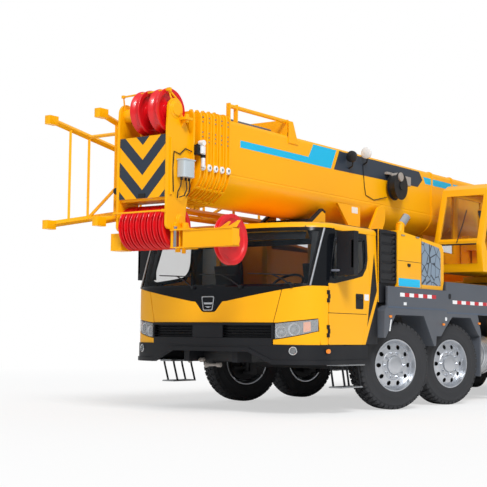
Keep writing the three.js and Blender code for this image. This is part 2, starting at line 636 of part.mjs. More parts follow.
// ---------- boom rest ----------
function boomOutline(grow = 0, drop = 0) {
  const half = BOOM_HALF + grow;
  const top = BOOM_TOP + grow;
  const chamfer = 55;
  const sag = BOOM_SEAM - BOOM_BOTTOM + grow + drop;
  const steps = 10;
  const belly = [];
  for (let i = 0; i <= steps; i += 1) {
    const angle = Math.PI + (i / steps) * Math.PI;
    belly.push([half * Math.cos(angle), BOOM_SEAM + sag * Math.sin(angle)]);
  }
  return [[-half, top - chamfer], ...belly, [half, top - chamfer], [half - chamfer, top],
    [-half + chamfer, top]];
}

function boomRest() {
  const shelf = { low: 2430, high: 2510 };
  const base = FRAME_TOP + GAP;
  const legs = bothSides((side) => join([-530, 1100].map((y) => sideBlock(side,
    FRAME_HALF - RAIL_WIDTH, FRAME_HALF, y, y + 120, base, shelf.low + 20))));
  const rails = bothSides((side) => sideBlock(side, 330, 440, -735, 1325, shelf.low, shelf.high));
  const bars = [-735, 165, 940, 1205].map((y) => block(-560, 560, y, y + 120, shelf.low, shelf.high));
  const pad = block(-445, 445, -600, -220, shelf.high - 10, 2810);
  const horns = bothSides((side) => join(
    prismSide(side, [[-65, 2875], [120, 2490], [330, 2490], [580, 2875]], 500, 540),
    prismSide(side, [[700, 2947], [1325, 2947], [1325, 2860], [1150, 2490], [850, 2490], [700, 2860]], 500, 540)));
  const boom = prism('y', boomOutline(GAP), -3000, 3000);
  const clearHorns = prism('y', boomOutline(COLLAR_RISE - 12), -3000, 3000);
  return join(legs, rails, bars, cut(pad, boom), cut(horns, clearHorns));
}

function prismSide(side, outline, x0, x1) {
  const solid = prism('x', orient(outline), x0, x1);
  return side > 0 ? solid : mirrorX(solid);
}

function orient(outline) {
  const points = outline.map(([a, b]) => new THREE.Vector2(a, b));
  return THREE.ShapeUtils.isClockWise(points) ? [...outline].reverse() : outline;
}
add('boom_rest', 'yellow', boomRest());

// ---------- superstructure ----------
const CYLINDER = { foot: { y: 7250, z: 2190 }, eye: { y: 3330, z: 2350 }, radius: 165, rod: 105 };
const LUG_INNER = 185;
const UPPER_HALF = 1480;         // half width of the side arms and counterweight

function turntable() {
  const ring = drum('z', SLEW_RADIUS, TURNTABLE_BOTTOM, TURNTABLE_BOTTOM + 70, 0, SLEW_Y, 32);
  const floor = block(-TURNTABLE_HALF, TURNTABLE_HALF, 5300, 9350, TURNTABLE_BOTTOM + 60, TURNTABLE_BOTTOM + 120);
  const cheek = [
    [5300, TURNTABLE_BOTTOM + 60], [9350, TURNTABLE_BOTTOM + 60], [9350, 2500], [9000, 3300],
    [8500, 3350], [7700, 2620], [6300, 2420], [5300, 2200],
  ];
  const cheeks = bothSides((side) => prismSide(side, cheek, TURNTABLE_HALF - TURNTABLE_PLATE, TURNTABLE_HALF));
  const pivotBosses = bothSides((side) => {
    const boss = drum('x', 150, BOOM_HALF + 20, TURNTABLE_HALF, PIVOT.y, PIVOT.z, 20);
    return side > 0 ? boss : mirrorX(boss);
  });
  const pin = drum('x', PIVOT_PIN, -TURNTABLE_HALF, TURNTABLE_HALF, PIVOT.y, PIVOT.z, 16);
  const footPlates = bothSides((side) => prismSide(side, [
    [6950, TURNTABLE_BOTTOM + 100], [7550, TURNTABLE_BOTTOM + 100], [7450, 2340], [7050, 2340],
  ], LUG_INNER, LUG_INNER + 60));
  const cabArm = block(TURNTABLE_HALF - 20, UPPER_HALF, 3900, 5700, TURNTABLE_BOTTOM + 20, TURNTABLE_BOTTOM + 120);
  const armRoot = block(-TURNTABLE_HALF, TURNTABLE_HALF + 40, 5250, 5700, TURNTABLE_BOTTOM + 20, TURNTABLE_BOTTOM + 120);
  const rightArm = block(-UPPER_HALF, -TURNTABLE_HALF + 20, 5250, 6300, TURNTABLE_BOTTOM + 20, TURNTABLE_BOTTOM + 120);
  const tankBox = block(-UPPER_HALF, -760, 5300, 6900, TURNTABLE_BOTTOM + 110, 2500);
  const winchCradle = bothSides((side) => join(
    sideBlock(side, 480, TURNTABLE_HALF, 9300, 9820, TURNTABLE_BOTTOM + 60, 2560)));
  const winchFloor = block(-TURNTABLE_HALF, TURNTABLE_HALF, 9300, 9820, TURNTABLE_BOTTOM + 60, TURNTABLE_BOTTOM + 120);
  return join(ring, floor, cheeks, pivotBosses, pin, footPlates, armRoot, cabArm, rightArm, tankBox,
    winchCradle, winchFloor);
}
add('turntable', 'yellow', turntable());

const COUNTERWEIGHT = { front: 9820 + GAP, rear: OVERALL_LENGTH - FRONT_REACH, half: UPPER_HALF, bottom: 1900, top: 2780 };

function counterweight() {
  const { front, rear, half, bottom, top } = COUNTERWEIGHT;
  const plan = [
    [-half, front], [half, front], [half, rear - 420], [half - 380, rear - 60],
    [0, rear], [-half + 380, rear - 60], [-half, rear - 420],
  ];
  return prism('z', plan, bottom, top);
}
add('counterweight', 'yellow', counterweight());

const WINCHES = [
  { name: 'main_winch_drum', y: 9560, z: 2300, half: 480 - GAP },
  { name: 'auxiliary_winch_drum', y: 9050, z: 2250, half: TURNTABLE_HALF - TURNTABLE_PLATE - GAP },
];
for (const { name, y, z, half } of WINCHES) {
  const profile = [
    [0, -half], [235, -half], [235, -half + 30], [175, -half + 32], [175, half - 32],
    [235, half - 30], [235, half], [0, half],
  ];
  const mesh = meshOf(name, 'steel', lathe(profile, 24));
  mesh.position.set(0, y, z);
  crane.add(mesh);
}

// ---------- operator's cab ----------
const OPCAB = { inner: 700, outer: 1520, front: 2600, rear: 4480, low: 2010, high: 3440, wall: 45 };

function opcabOutline(shrink) {
  const { front, rear, low, high } = OPCAB;
  return [
    [front + 60 + shrink, low + shrink], [rear - shrink, low + shrink], [rear - shrink, high - 60 - shrink],
    [rear - 60 - shrink, high - shrink], [front + 520 + shrink, high - shrink],
    [front + 330 + shrink, high - 90 - shrink], [front + shrink, low + 420],
  ];
}

const opcabDoor = { front: 3330, rear: 4330, low: OPCAB.low + 60, high: OPCAB.high - 110 };

function doorHole(shrink) {
  return block(OPCAB.outer - 90, OPCAB.outer + 60, opcabDoor.front + shrink, opcabDoor.rear - shrink,
    opcabDoor.low + shrink, opcabDoor.high - shrink);
}

function operatorCab() {
  const { inner, outer, wall, low, high, front } = OPCAB;
  const shell = cut(prism('x', opcabOutline(0), inner, outer),
    prism('x', opcabOutline(wall), inner + wall, outer - wall));
  const windows = [
    doorHole(0),
    prism('x', orient([[front + 130, low + 470], [front + 420, high - 130], [3250, high - 130], [3250, low + 330],
      [front + 200, low + 330]]), inner - 20, outer + 20),
    block(inner - 20, inner + wall + 20, 3380, 4300, low + 620, high - 150),
    block(inner + 90, outer - 90, front - 60, front + 700, low + 520, high - 200),
    block(inner + 90, outer - 90, front - 60, front + 300, low + 130, low + 430),
    block(inner + 90, outer - 90, 4300, 4600, low + 620, high - 170),
    block(inner + 110, outer - 110, front + 640, 4250, high - 80, high + 40),
  ];
  const seat = join(
    block(inner + 230, outer - 230, 3520, 3920, low + wall - 5, low + 420),
    block(inner + 150, outer - 150, 3420, 3960, low + 400, low + 520),
    block(inner + 160, outer - 160, 3900, 4010, low + 500, low + 1120),
    block(inner + 70, inner + 200, 3450, 3900, low + wall - 5, low + 640));
  const feet = block(inner + 60, outer - 60, 3950, OPCAB.rear - 40, TURNTABLE_BOTTOM + 120 + GAP, low + 10);
  const rails = [opcabDoor.high + 2, opcabDoor.low - 18].map((z) => block(outer - 10, outer + RUNNING_GAP - GAP,
    opcabDoor.front - 20, OPCAB.rear, z, z + 16));
  return join(cut(shell, ...windows), seat, feet, rails);
}
add('operator_cab', 'yellow', operatorCab());

// The sliding door hangs just outside the cab wall.
function operatorDoor() {
  const x = OPCAB.outer + RUNNING_GAP;
  const outer = block(x, x + 35, opcabDoor.front - 20, opcabDoor.rear + 20, opcabDoor.low - 20, opcabDoor.high + 20);
  return cut(outer, block(x - 10, x + 50, opcabDoor.front + 50, opcabDoor.rear - 50,
    opcabDoor.low + 420, opcabDoor.high - 60),
  block(x - 10, x + 50, opcabDoor.front + 50, opcabDoor.rear - 50, opcabDoor.low + 60, opcabDoor.low + 350));
}
add('operator_cab_door', 'yellow', operatorDoor());

// ---------- boom ----------
const sectionStep = BOOM_WALL + RUNNING_GAP;
const collarPitch = COLLAR + RUNNING_GAP;

function sectionTube(index) {
  const grow = -index * sectionStep;
  const front = BOOM_FRONT - index * collarPitch;
  const rear = BOOM_REAR - index * 130 - (index ? 500 : 0);
  const outer = prism('y', boomOutline(grow), front - 5, rear);
  const inner = prism('y', boomOutline(grow - BOOM_WALL), front - COLLAR - 20, rear + 10);
  const collar = prism('y', boomOutline(COLLAR_RISE - index * 9), front - COLLAR, front);
  return cut(join(outer, collar, ...(index ? [slidePads(grow, rear)] : [])), inner);
}

// Wear pads round a section's tail, which run on the section outside it.
function slidePads(grow, rear) {
  return prism('y', boomOutline(grow + RUNNING_GAP - GAP), rear - 80, rear);
}

const REEL = { y: 1680, z: 3295 };
const JIB = { x: -960, z: 2985, front: -3800, neck: -2250, rear: 4700, tube: 42, lace: 24 };
const JIB_BRACKETS = [-1950, 2100];

function baseSection() {
  const tube = sectionTube(0);
  const foot = bothSides((side) => prismSide(side, [
    [BOOM_REAR - 700, 2800], [BOOM_REAR + 20, 2900], [BOOM_REAR + 20, 3200], [BOOM_REAR - 700, 3300],
  ], BOOM_HALF - 10, BOOM_HALF + 12));
  const hole = drum('x', boreFor(PIVOT_PIN, 20), -700, 700, PIVOT.y, PIVOT.z, 20);
  const eye = CYLINDER.eye;
  const lugs = bothSides((side) => prismSide(side, [
    [eye.y - 230, 2750], [eye.y - 110, eye.z - 120], [eye.y + 110, eye.z - 120], [eye.y + 300, 2750],
  ], LUG_INNER, LUG_INNER + 50));
  const boomInside = prism('y', boomOutline(-5), 2000, 5000);
  const reel = join(drum('x', 215, BOOM_HALF + 40, BOOM_HALF + 165, REEL.y, REEL.z, 24),
    block(BOOM_HALF - 6, BOOM_HALF + 60, REEL.y - 90, REEL.y + 90, REEL.z - 90, REEL.z + 90));
  const jibBrackets = JIB_BRACKETS.map((y) => block(JIB.x, -BOOM_HALF + 5, y, y + 60, 3020, 3080));
  return join(cut(tube, hole), cut(lugs, boomInside), reel, jibBrackets, foot.subtract(hole));
}
add('boom_base_section', 'yellow', baseSection());

for (let index = 1; index < SECTIONS - 1; index += 1) {
  add(`boom_section_${index + 1}`, 'yellow', sectionTube(index));
}

function boomHead() {
  const index = SECTIONS - 1;
  const grow = -index * sectionStep;
  const rear = BOOM_REAR - index * 130 - 500;
  const tube = cut(join(prism('y', boomOutline(grow), HEAD.rear - 5, rear), slidePads(grow, rear)),
    prism('y', boomOutline(grow - BOOM_WALL), HEAD.rear + 40, rear + 10));
  const flange = prism('y', boomOutline(COLLAR_RISE - index * 9), HEAD.rear - 30, HEAD.rear);
  const lobe = UPPER_SHEAVES.y;
  const cheekOutline = [
    [HEAD.front, HEAD.bottom + 60], [HEAD.front + 60, HEAD.bottom], [HEAD.rear - 110, HEAD.bottom],
    [HEAD.rear, 2980], [HEAD.rear, 3340], [lobe + 120, 3590], [lobe + 128, HEAD.top - 110],
    [lobe + 75, HEAD.top - 25], [lobe, HEAD.top], [lobe - 75, HEAD.top - 25],
    [lobe - 125, HEAD.top - 100], [HEAD.front, 3420],
  ];
  const cheeks = bothSides((side) => prismSide(side, cheekOutline, HEAD.half - HEAD.plate, HEAD.half));
  const face = block(-HEAD.half + 10, HEAD.half - 10, HEAD.front + 15, HEAD.front + 45, 2592, 3340);
  const shelf = block(-HEAD.half + 10, HEAD.half - 10, HEAD.front + 30, HEAD.rear, 2880, 2930);
  const topPin = drum('x', SHEAVE_PIN, -HEAD.half + 10, HEAD.half - 10, UPPER_SHEAVES.y, UPPER_SHEAVES.z, 14);
  const lowPin = drum('x', SHEAVE_PIN, -HEAD.half + 10, HEAD.half - 10, LOWER_SHEAVES.y, LOWER_SHEAVES.z, 14);
  const arm = join(
    block(HEAD.half - 10, AUX_ARM.end, AUX_ARM.front, AUX_ARM.rear, AUX_ARM.low, AUX_ARM.high),
    block(HEAD.half - 36, 600, AUX_ARM.front - 20, AUX_ARM.front + 340, AUX_ARM.high - 10, AUX_ARM.high + 100),
    [-90, 60].map((x) => block(AUX_SHEAVE.x + x, AUX_SHEAVE.x + x + 30, AUX_ARM.front + 60,
      AUX_SHEAVE.y + 60, AUX_SHEAVE.z - 70, AUX_SHEAVE.z + 80)));
  const clearSheave = drum('x', AUX_SHEAVE_RADIUS + RUNNING_GAP, AUX_SHEAVE.x - AUX_SHEAVE.width / 2 - RUNNING_GAP,
    AUX_SHEAVE.x + AUX_SHEAVE.width / 2 + RUNNING_GAP, AUX_SHEAVE.y, AUX_SHEAVE.z, 24);
  const auxPin = drum('x', AUX_PIN, AUX_SHEAVE.x - 70, AUX_SHEAVE.x + 70, AUX_SHEAVE.y, AUX_SHEAVE.z, 12);
  const stub = join(
    block(-560, -HEAD.half + 10, AUX_ARM.front, AUX_ARM.front + 200, AUX_ARM.low, AUX_ARM.high),
    block(-HEAD.half, -HEAD.half + 30, AUX_ARM.front, AUX_ARM.front + 200, AUX_ARM.low, AUX_ARM.high + 120));
  const clearUpper = drum('x', SHEAVE_RADIUS + RUNNING_GAP, UPPER_SHEAVES.x[0] - UPPER_SHEAVES.width / 2 - RUNNING_GAP,
    UPPER_SHEAVES.x[1] + UPPER_SHEAVES.width / 2 + RUNNING_GAP, UPPER_SHEAVES.y, UPPER_SHEAVES.z, 24);
  return join(cut(join(tube, flange, cheeks, face, shelf), clearUpper), topPin, lowPin, cut(arm, clearSheave), auxPin, stub);
}
add('boom_head', 'yellow', boomHead());

// A stack of grooved sheaves on one bored sleeve about the x axis.
function sheaveStack(centres, width, pin, radius) {
  const half = width / 2;
  const bore = boreFor(pin, WHEEL_SIDES);
  const sleeve = bore + 45;
  const profile = [[bore, centres[0] - half]];
  for (const x of centres) {
    if (x !== centres[0]) profile.push([sleeve, x - half]);
    profile.push([radius, x - half], [radius - 20, x], [radius, x + half]);
    if (x !== centres.at(-1)) profile.push([sleeve, x + half]);
  }
  profile.push([bore, centres.at(-1) + half], [bore, centres[0] - half]);
  return lathe(profile, WHEEL_SIDES);
}

function addSheaves(name, y, z, centres, width, pin, radius = SHEAVE_RADIUS) {
  const mesh = meshOf(name, 'red', sheaveStack(centres, width, pin, radius));
  mesh.position.set(0, y, z);
  crane.add(mesh);
}
addSheaves('upper_sheaves', UPPER_SHEAVES.y, UPPER_SHEAVES.z, UPPER_SHEAVES.x, UPPER_SHEAVES.width, SHEAVE_PIN);
const lowerPitch = (2 * LOWER_SHEAVES.half) / LOWER_SHEAVES.count;
addSheaves('lower_sheaves', LOWER_SHEAVES.y, LOWER_SHEAVES.z,
  Array.from({ length: LOWER_SHEAVES.count }, (_, i) => -LOWER_SHEAVES.half + (i + 0.5) * lowerPitch),
  lowerPitch * 0.7, SHEAVE_PIN);
addSheaves('auxiliary_sheave', AUX_SHEAVE.y, AUX_SHEAVE.z, [AUX_SHEAVE.x], AUX_SHEAVE.width, AUX_PIN,
  AUX_SHEAVE_RADIUS);

// ---------- luffing cylinder ----------
function luffingParts() {
  const { foot, eye, radius } = CYLINDER;
  const length = Math.hypot(foot.y - eye.y, foot.z - eye.z);
  const barrelLength = length - 620;
  const eyeHalf = LUG_INNER - GAP;
  const barrel = cut(join(
    drum('y', radius, 60, barrelLength, 0, 0, 20),
    drum('y', radius + 25, barrelLength - 120, barrelLength, 0, 0, 20),
    drum('x', 130, -eyeHalf, eyeHalf, 0, 0, 20)),
  drum('y', CYLINDER.rod + RUNNING_GAP, 330, barrelLength - 60, 0, 0, 20),
  drum('y', boreFor(CYLINDER.rod, 20), 320, barrelLength + 10, 0, 0, 20));
  const ram = join(
    drum('y', CYLINDER.rod, 350, length - 90, 0, 0, 16),
    drum('x', 120, -eyeHalf, eyeHalf, length, 0, 20));
  const group = new THREE.Group();
  group.position.set(0, eye.y, eye.z);
  group.rotation.x = Math.atan2(foot.z - eye.z, foot.y - eye.y);
  group.add(meshOf('luffing_cylinder', 'yellow', barrel), meshOf('luffing_rod', 'rim', ram));
  crane.add(group);
}
luffingParts();

// ---------- stowed jib ----------
function jibSolid() {
  const fork = { half: 425, low: 2330, high: 3650 };
  const frame = { half: 270, low: 2640, high: 3330 };
  const corners = [[1, 1], [1, -1], [-1, -1], [-1, 1]];
  const at = ([sx, sz], y) => {
    const t = Math.min(1, (y - JIB.front) / (JIB.neck - JIB.front));
    const half = fork.half + (frame.half - fork.half) * t;
    const top = fork.high + (frame.high - fork.high) * t;
    const low = fork.low + (frame.low - fork.low) * t;
    return [JIB.x + sx * half, y, sz > 0 ? top : low];
  };
  const parts = [];
  for (const corner of corners) {
    parts.push(rod(at(corner, JIB.front), at(corner, JIB.neck), JIB.tube, 4));
    parts.push(rod(at(corner, JIB.neck - 20), at(corner, JIB.rear), JIB.tube, 4));
    const [x, y, z] = at(corner, JIB.front);
    parts.push(block(x - 45, x + 45, y - 60, y + 90, z - 55, z + 55));
  }
  const posts = [-3480, -3170, JIB.neck];
  const bays = 5;
  for (let i = 1; i <= bays; i += 1) posts.push(JIB.neck + ((JIB.rear - JIB.neck - 40) * i) / bays);
  posts.forEach((y, i) => {
    for (let k = 0; k < 4; k += 1) {
      const a = corners[k];
      const b = corners[(k + 1) % 4];
      if (i !== 0 || k % 2 === 0) parts.push(rod(at(a, y), at(b, y), JIB.lace, 4));
      if (i + 1 < posts.length && i > 0 && k % 2 === 0) {
        const flip = (i + k) % 2;
        parts.push(rod(at(flip ? a : b, y), at(flip ? b : a, posts[i + 1]), JIB.lace, 4));
      }
    }
  });
  const hangers = JIB_BRACKETS.map((y) => block(
    JIB.x - 55, JIB.x - GAP, y, y + 60, frame.low, frame.high));
  return join(parts, hangers, JIB_BRACKETS.map((y) => join(
    block(JIB.x - 300, JIB.x + 300, y, y + 60, frame.low - 20, frame.low + 30),
    block(JIB.x - 300, JIB.x + 300, y, y + 60, frame.high - 30, frame.high + 20))));
}
add('jib', 'yellow', jibSolid());

export default crane;
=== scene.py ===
import json
import math
import bmesh
import bpy
from mathutils import Matrix, Vector

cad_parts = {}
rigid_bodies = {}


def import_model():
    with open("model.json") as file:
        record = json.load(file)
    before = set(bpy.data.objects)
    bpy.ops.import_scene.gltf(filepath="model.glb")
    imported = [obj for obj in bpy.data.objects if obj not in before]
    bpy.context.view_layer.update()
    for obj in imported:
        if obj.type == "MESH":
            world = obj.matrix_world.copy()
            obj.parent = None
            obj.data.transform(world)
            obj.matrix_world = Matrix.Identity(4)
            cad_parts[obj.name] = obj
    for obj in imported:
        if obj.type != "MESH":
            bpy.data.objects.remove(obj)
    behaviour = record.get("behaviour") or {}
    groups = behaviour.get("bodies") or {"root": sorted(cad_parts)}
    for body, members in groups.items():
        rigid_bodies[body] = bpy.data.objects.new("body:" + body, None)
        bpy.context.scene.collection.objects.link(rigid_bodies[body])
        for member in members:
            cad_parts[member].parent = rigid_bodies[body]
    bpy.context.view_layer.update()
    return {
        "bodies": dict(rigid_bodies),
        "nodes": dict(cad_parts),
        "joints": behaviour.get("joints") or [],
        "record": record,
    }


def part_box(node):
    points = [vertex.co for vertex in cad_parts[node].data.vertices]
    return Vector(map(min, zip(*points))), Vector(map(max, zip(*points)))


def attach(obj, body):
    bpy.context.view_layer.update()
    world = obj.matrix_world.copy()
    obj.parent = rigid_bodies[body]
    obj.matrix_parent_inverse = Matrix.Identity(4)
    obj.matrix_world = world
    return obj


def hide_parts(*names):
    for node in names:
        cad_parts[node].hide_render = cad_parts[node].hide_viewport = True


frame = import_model()
print("frame loaded:", len(frame["nodes"]), "nodes")

# Stations along the crane are counted from a point just ahead of the first axle.
axleLow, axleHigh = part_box("wheels_left_3")
stationShift = (axleLow.y + axleHigh.y) / 2 - 4.85
worldUp = Vector((0, 0, 1))


# ---- shapes: each one is a list of points and a list of faces, in metres ----

def box(x0, x1, y0, y1, z0, z1):
    points = [(x, y, z) for x in (x0, x1) for y in (y0, y1) for z in (z0, z1)]
    return points, [(0, 1, 3, 2), (4, 6, 7, 5), (0, 4, 5, 1), (2, 3, 7, 6), (0, 2, 6, 4), (1, 5, 7, 3)]


def prism(axis, outline, start, end):
    if axis == "x":
        points = [(d, a, b) for d in (start, end) for a, b in outline]
    elif axis == "y":
        points = [(a, d, b) for d in (start, end) for a, b in outline]
    else:
        points = [(a, b, d) for d in (start, end) for a, b in outline]
    n = len(outline)
    faces = [tuple(range(n)), tuple(range(2 * n - 1, n - 1, -1))]
    faces += [(i, (i + 1) % n, n + (i + 1) % n, n + i) for i in range(n)]
    return points, faces


def place(axis, a, b, along, centre):
    x, y, z = centre
    if axis == "x":
        return (x + along, y + a, z + b)
    if axis == "y":
        return (x + a, y + along, z + b)
    return (x + a, y + b, z + along)


def lathe(axis, profile, sides=32, centre=(0, 0, 0), ring=False):
    # profile holds (radius, place along the axis); a ring's profile closes on itself
    points, rows = [], []
    for radius, along in profile:
        count = 1 if radius < 1e-6 else sides
        rows.append([len(points) + i for i in range(count)])
        for i in range(count):
            angle = 2 * math.pi * i / sides
            points.append(place(axis, radius * math.cos(angle), radius * math.sin(angle), along, centre))
    faces = []
    pairs = list(zip(rows, rows[1:])) + ([(rows[-1], rows[0])] if ring else [])
    for one, two in pairs:
        for i in range(sides):
            j = (i + 1) % sides
            if len(one) == 1 and len(two) > 1:
                faces.append((one[0], two[i], two[j]))
            elif len(two) == 1 and len(one) > 1:
                faces.append((one[i], two[0], one[j]))
            elif len(one) > 1:
                faces.append((one[i], two[i], two[j], one[j]))
    return points, faces


def drum(axis, radius, start, end, centre=(0, 0, 0), sides=32):
    return lathe(axis, [(0, start), (radius, start), (radius, end), (0, end)], sides, centre)


def tube(path, radius, sides=10, closed=False):
    # a round bar or hose along a list of points
    path = [Vector(p) for p in path]
    count = len(path)
    points, faces = [], []
    side = None
    for i, here in enumerate(path):
        before = path[i - 1] if (i or closed) else here
        after = path[(i + 1) % count] if (i + 1 < count or closed) else here
        ahead = (after - before).normalized()
        if side is None:
            side = ahead.cross(worldUp if abs(ahead.z) < 0.9 else Vector((1, 0, 0))).normalized()
        side = (side - ahead * side.dot(ahead)).normalized()
        other = ahead.cross(side)
        for k in range(sides):
            angle = 2 * math.pi * k / sides
            points.append(tuple(here + radius * (math.cos(angle) * side + math.sin(angle) * other)))
    for i in range(count if closed else count - 1):
        for k in range(sides):
            a, b = i * sides + k, i * sides + (k + 1) % sides
            c, d = ((i + 1) % count) * sides + (k + 1) % sides, ((i + 1) % count) * sides + k
            faces.append((a, b, c, d))
    if not closed:
        faces += [tuple(range(sides)), tuple(range(count * sides - 1, (count - 1) * sides - 1, -1))]
    return points, faces


def beam(start, end, width, height, up=worldUp):
    # a square bar between two points: width across, height towards up
    start, end = Vector(start), Vector(end)
    ahead = (end - start).normalized()
    across = ahead.cross(up).normalized() * width / 2
    above = across.cross(ahead).normalized() * height / 2
    points = [tuple(p + s * across + t * above) for p in (start, end)
              for s, t in ((-1, -1), (1, -1), (1, 1), (-1, 1))]
    return points, [(0, 1, 2, 3), (7, 6, 5, 4), (0, 4, 5, 1), (1, 5, 6, 2), (2, 6, 7, 3), (3, 7, 4, 0)]


def loft(rings, capped=True, closed=False):
    n = len(rings[0])
    points = [tuple(p) for ring in rings for p in ring]
    faces = []
    count = len(rings)
    for r in range(count if closed else count - 1):
        for i in range(n):
            a, b = r * n + i, r * n + (i + 1) % n
            s = ((r + 1) % count) * n
            faces.append((a, b, s + (i + 1) % n, s + i))
    if capped and not closed:
        faces += [tuple(range(n)), tuple(range(count * n - 1, (count - 1) * n - 1, -1))]
    return points, faces


def slabFaces(columns, rows):
    # front, back and rim of a slab whose two sides are grids of points
    faces = []
    n, back = rows + 1, (columns + 1) * (rows + 1)
    for i in range(columns):
        for j in range(rows):
            a, b, c, d = i * n + j, (i + 1) * n + j, (i + 1) * n + j + 1, i * n + j + 1
            faces += [(a, b, c, d), (back + d, back + c, back + b, back + a)]
    rim = [i * n for i in range(columns)] + [columns * n + j for j in range(rows)]
    rim += [i * n + rows for i in range(columns, 0, -1)] + [j for j in range(rows, 0, -1)]
    for a, b in zip(rim, rim[1:] + rim[:1]):
        faces.append((b, a, back + a, back + b))
    return faces


def patch(at, columns, rows, thickness):
    # a curved plate: at(u, v, out) gives a point of its face, out is the distance proud of it
    points = [tuple(at(i / columns, j / rows, out)) for out in (0.0, -thickness)
              for i in range(columns + 1) for j in range(rows + 1)]
    return points, slabFaces(columns, rows)


def moved(part, x=0.0, y=0.0, z=0.0):
    return [(a + x, b + y, c + z) for a, b, c in part[0]], part[1]


def turned(part, matrix):
    return [tuple(matrix @ Vector(p)) for p in part[0]], part[1]


def mirrored(part):
    return [(-x, y, z) for x, y, z in part[0]], [tuple(reversed(f)) for f in part[1]]


def bothSides(parts):
    return parts + [mirrored(p) for p in parts]


def onSide(side, parts):
    # parts are drawn on the left, and mirrored for the right
    return parts if side == "left" else [mirrored(p) for p in parts]


def arc(cx, cy, radius, start, end, steps):
    angles = [math.radians(start + (end - start) * i / steps) for i in range(steps + 1)]
    return [(cx + radius * math.cos(a), cy + radius * math.sin(a)) for a in angles]


def roundedBox(x0, x1, y0, y1, z0, z1, radius, steps=4):
    # a box whose upright edges are round
    outline = arc(x1 - radius, y0 + radius, radius, -90, 0, steps) + arc(x1 - radius, y1 - radius, radius, 0, 90, steps)
    outline += arc(x0 + radius, y1 - radius, radius, 90, 180, steps)
    outline += arc(x0 + radius, y0 + radius, radius, 180, 270, steps)
    return prism("z", outline, z0, z1)


def finishMesh(piece, bevel, steps, angle):
    mesh = piece.data
    mesh.shade_smooth()
    if bevel:
        modifier = piece.modifiers.new("edges", "BEVEL")
        modifier.width = bevel
        modifier.segments = steps
        modifier.limit_method = "ANGLE"
        modifier.angle_limit = math.radians(angle)
        modifier.harden_normals = True
    else:
        mesh.set_sharp_from_angle(angle=math.radians(angle))


def makePiece(name, parts, material, body, replaces=(), bevel=0.003, steps=2, angle=38, welded=False):
    work = bmesh.new()
    for points, faces in parts:
        made = [work.verts.new((x, y + stationShift, z)) for x, y, z in points]
        for face in faces:
            if len(set(face)) > 2:
                work.faces.new([made[i] for i in face])
    if welded:
        bmesh.ops.remove_doubles(work, verts=work.verts, dist=1e-5)
    bmesh.ops.recalc_face_normals(work, faces=work.faces)
    mesh = bpy.data.meshes.new(name)
    work.to_mesh(mesh)
    work.free()
    mesh.materials.append(material)
    piece = bpy.data.objects.new(name, mesh)
    bpy.context.scene.collection.objects.link(piece)
    finishMesh(piece, bevel, steps, angle)
    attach(piece, body)
    for node in replaces:
        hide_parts(node)
    return piece


def refine(node, material, body, bevel=0.006, steps=2, extras=(), angle=35, name=None):
    # the construction solid with its edges broken, and smaller parts added to it
    work = bmesh.new()
    work.from_mesh(frame["nodes"][node].data)
    bmesh.ops.remove_doubles(work, verts=work.verts, dist=2e-5)
    bmesh.ops.dissolve_limit(work, angle_limit=math.radians(0.6), verts=work.verts, edges=work.edges)
    for points, faces in extras:
        made = [work.verts.new((x, y + stationShift, z)) for x, y, z in points]
        fresh = [work.faces.new([made[i] for i in face]) for face in faces if len(set(face)) > 2]
        bmesh.ops.recalc_face_normals(work, faces=fresh)
    name = name or node + "_finished"
    mesh = bpy.data.meshes.new(name)
    work.to_mesh(mesh)
    work.free()
    mesh.materials.append(material)
    piece = bpy.data.objects.new(name, mesh)
    bpy.context.scene.collection.objects.link(piece)
    finishMesh(piece, bevel, steps, angle)
    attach(piece, body)
    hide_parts(node)
    return piece


# ---- what repeats: two node trees that copy one small part round a ring or along a row ----

def addNode(tree, kind, settings=None, links=None):
    node = tree.nodes.new(kind)
    for key, value in (settings or {}).items():
        if isinstance(key, int) or key in node.inputs:
            node.inputs[key].default_value = value
        else:
            setattr(node, key, value)
    for key, source in (links or {}).items():
        tree.links.new(source, node.inputs[key])
    return node


def newTree(name, inputs):
    tree = bpy.data.node_groups.new(name, "GeometryNodeTree")
    tree.interface.new_socket("Geometry", in_out="INPUT", socket_type="NodeSocketGeometry")
    for label, kind in inputs:
        tree.interface.new_socket(label, in_out="INPUT", socket_type=kind)
    tree.interface.new_socket("Geometry", in_out="OUTPUT", socket_type="NodeSocketGeometry")
    return tree, addNode(tree, "NodeGroupInput")


def endTree(tree, source, instances):
    real = addNode(tree, "GeometryNodeRealizeInstances", links={"Geometry": instances})
    painted = addNode(tree, "GeometryNodeSetMaterial",
                      links={"Geometry": real.outputs[0], "Material": source.outputs["Material"]})
    addNode(tree, "NodeGroupOutput", links={"Geometry": painted.outputs[0]})
    return tree


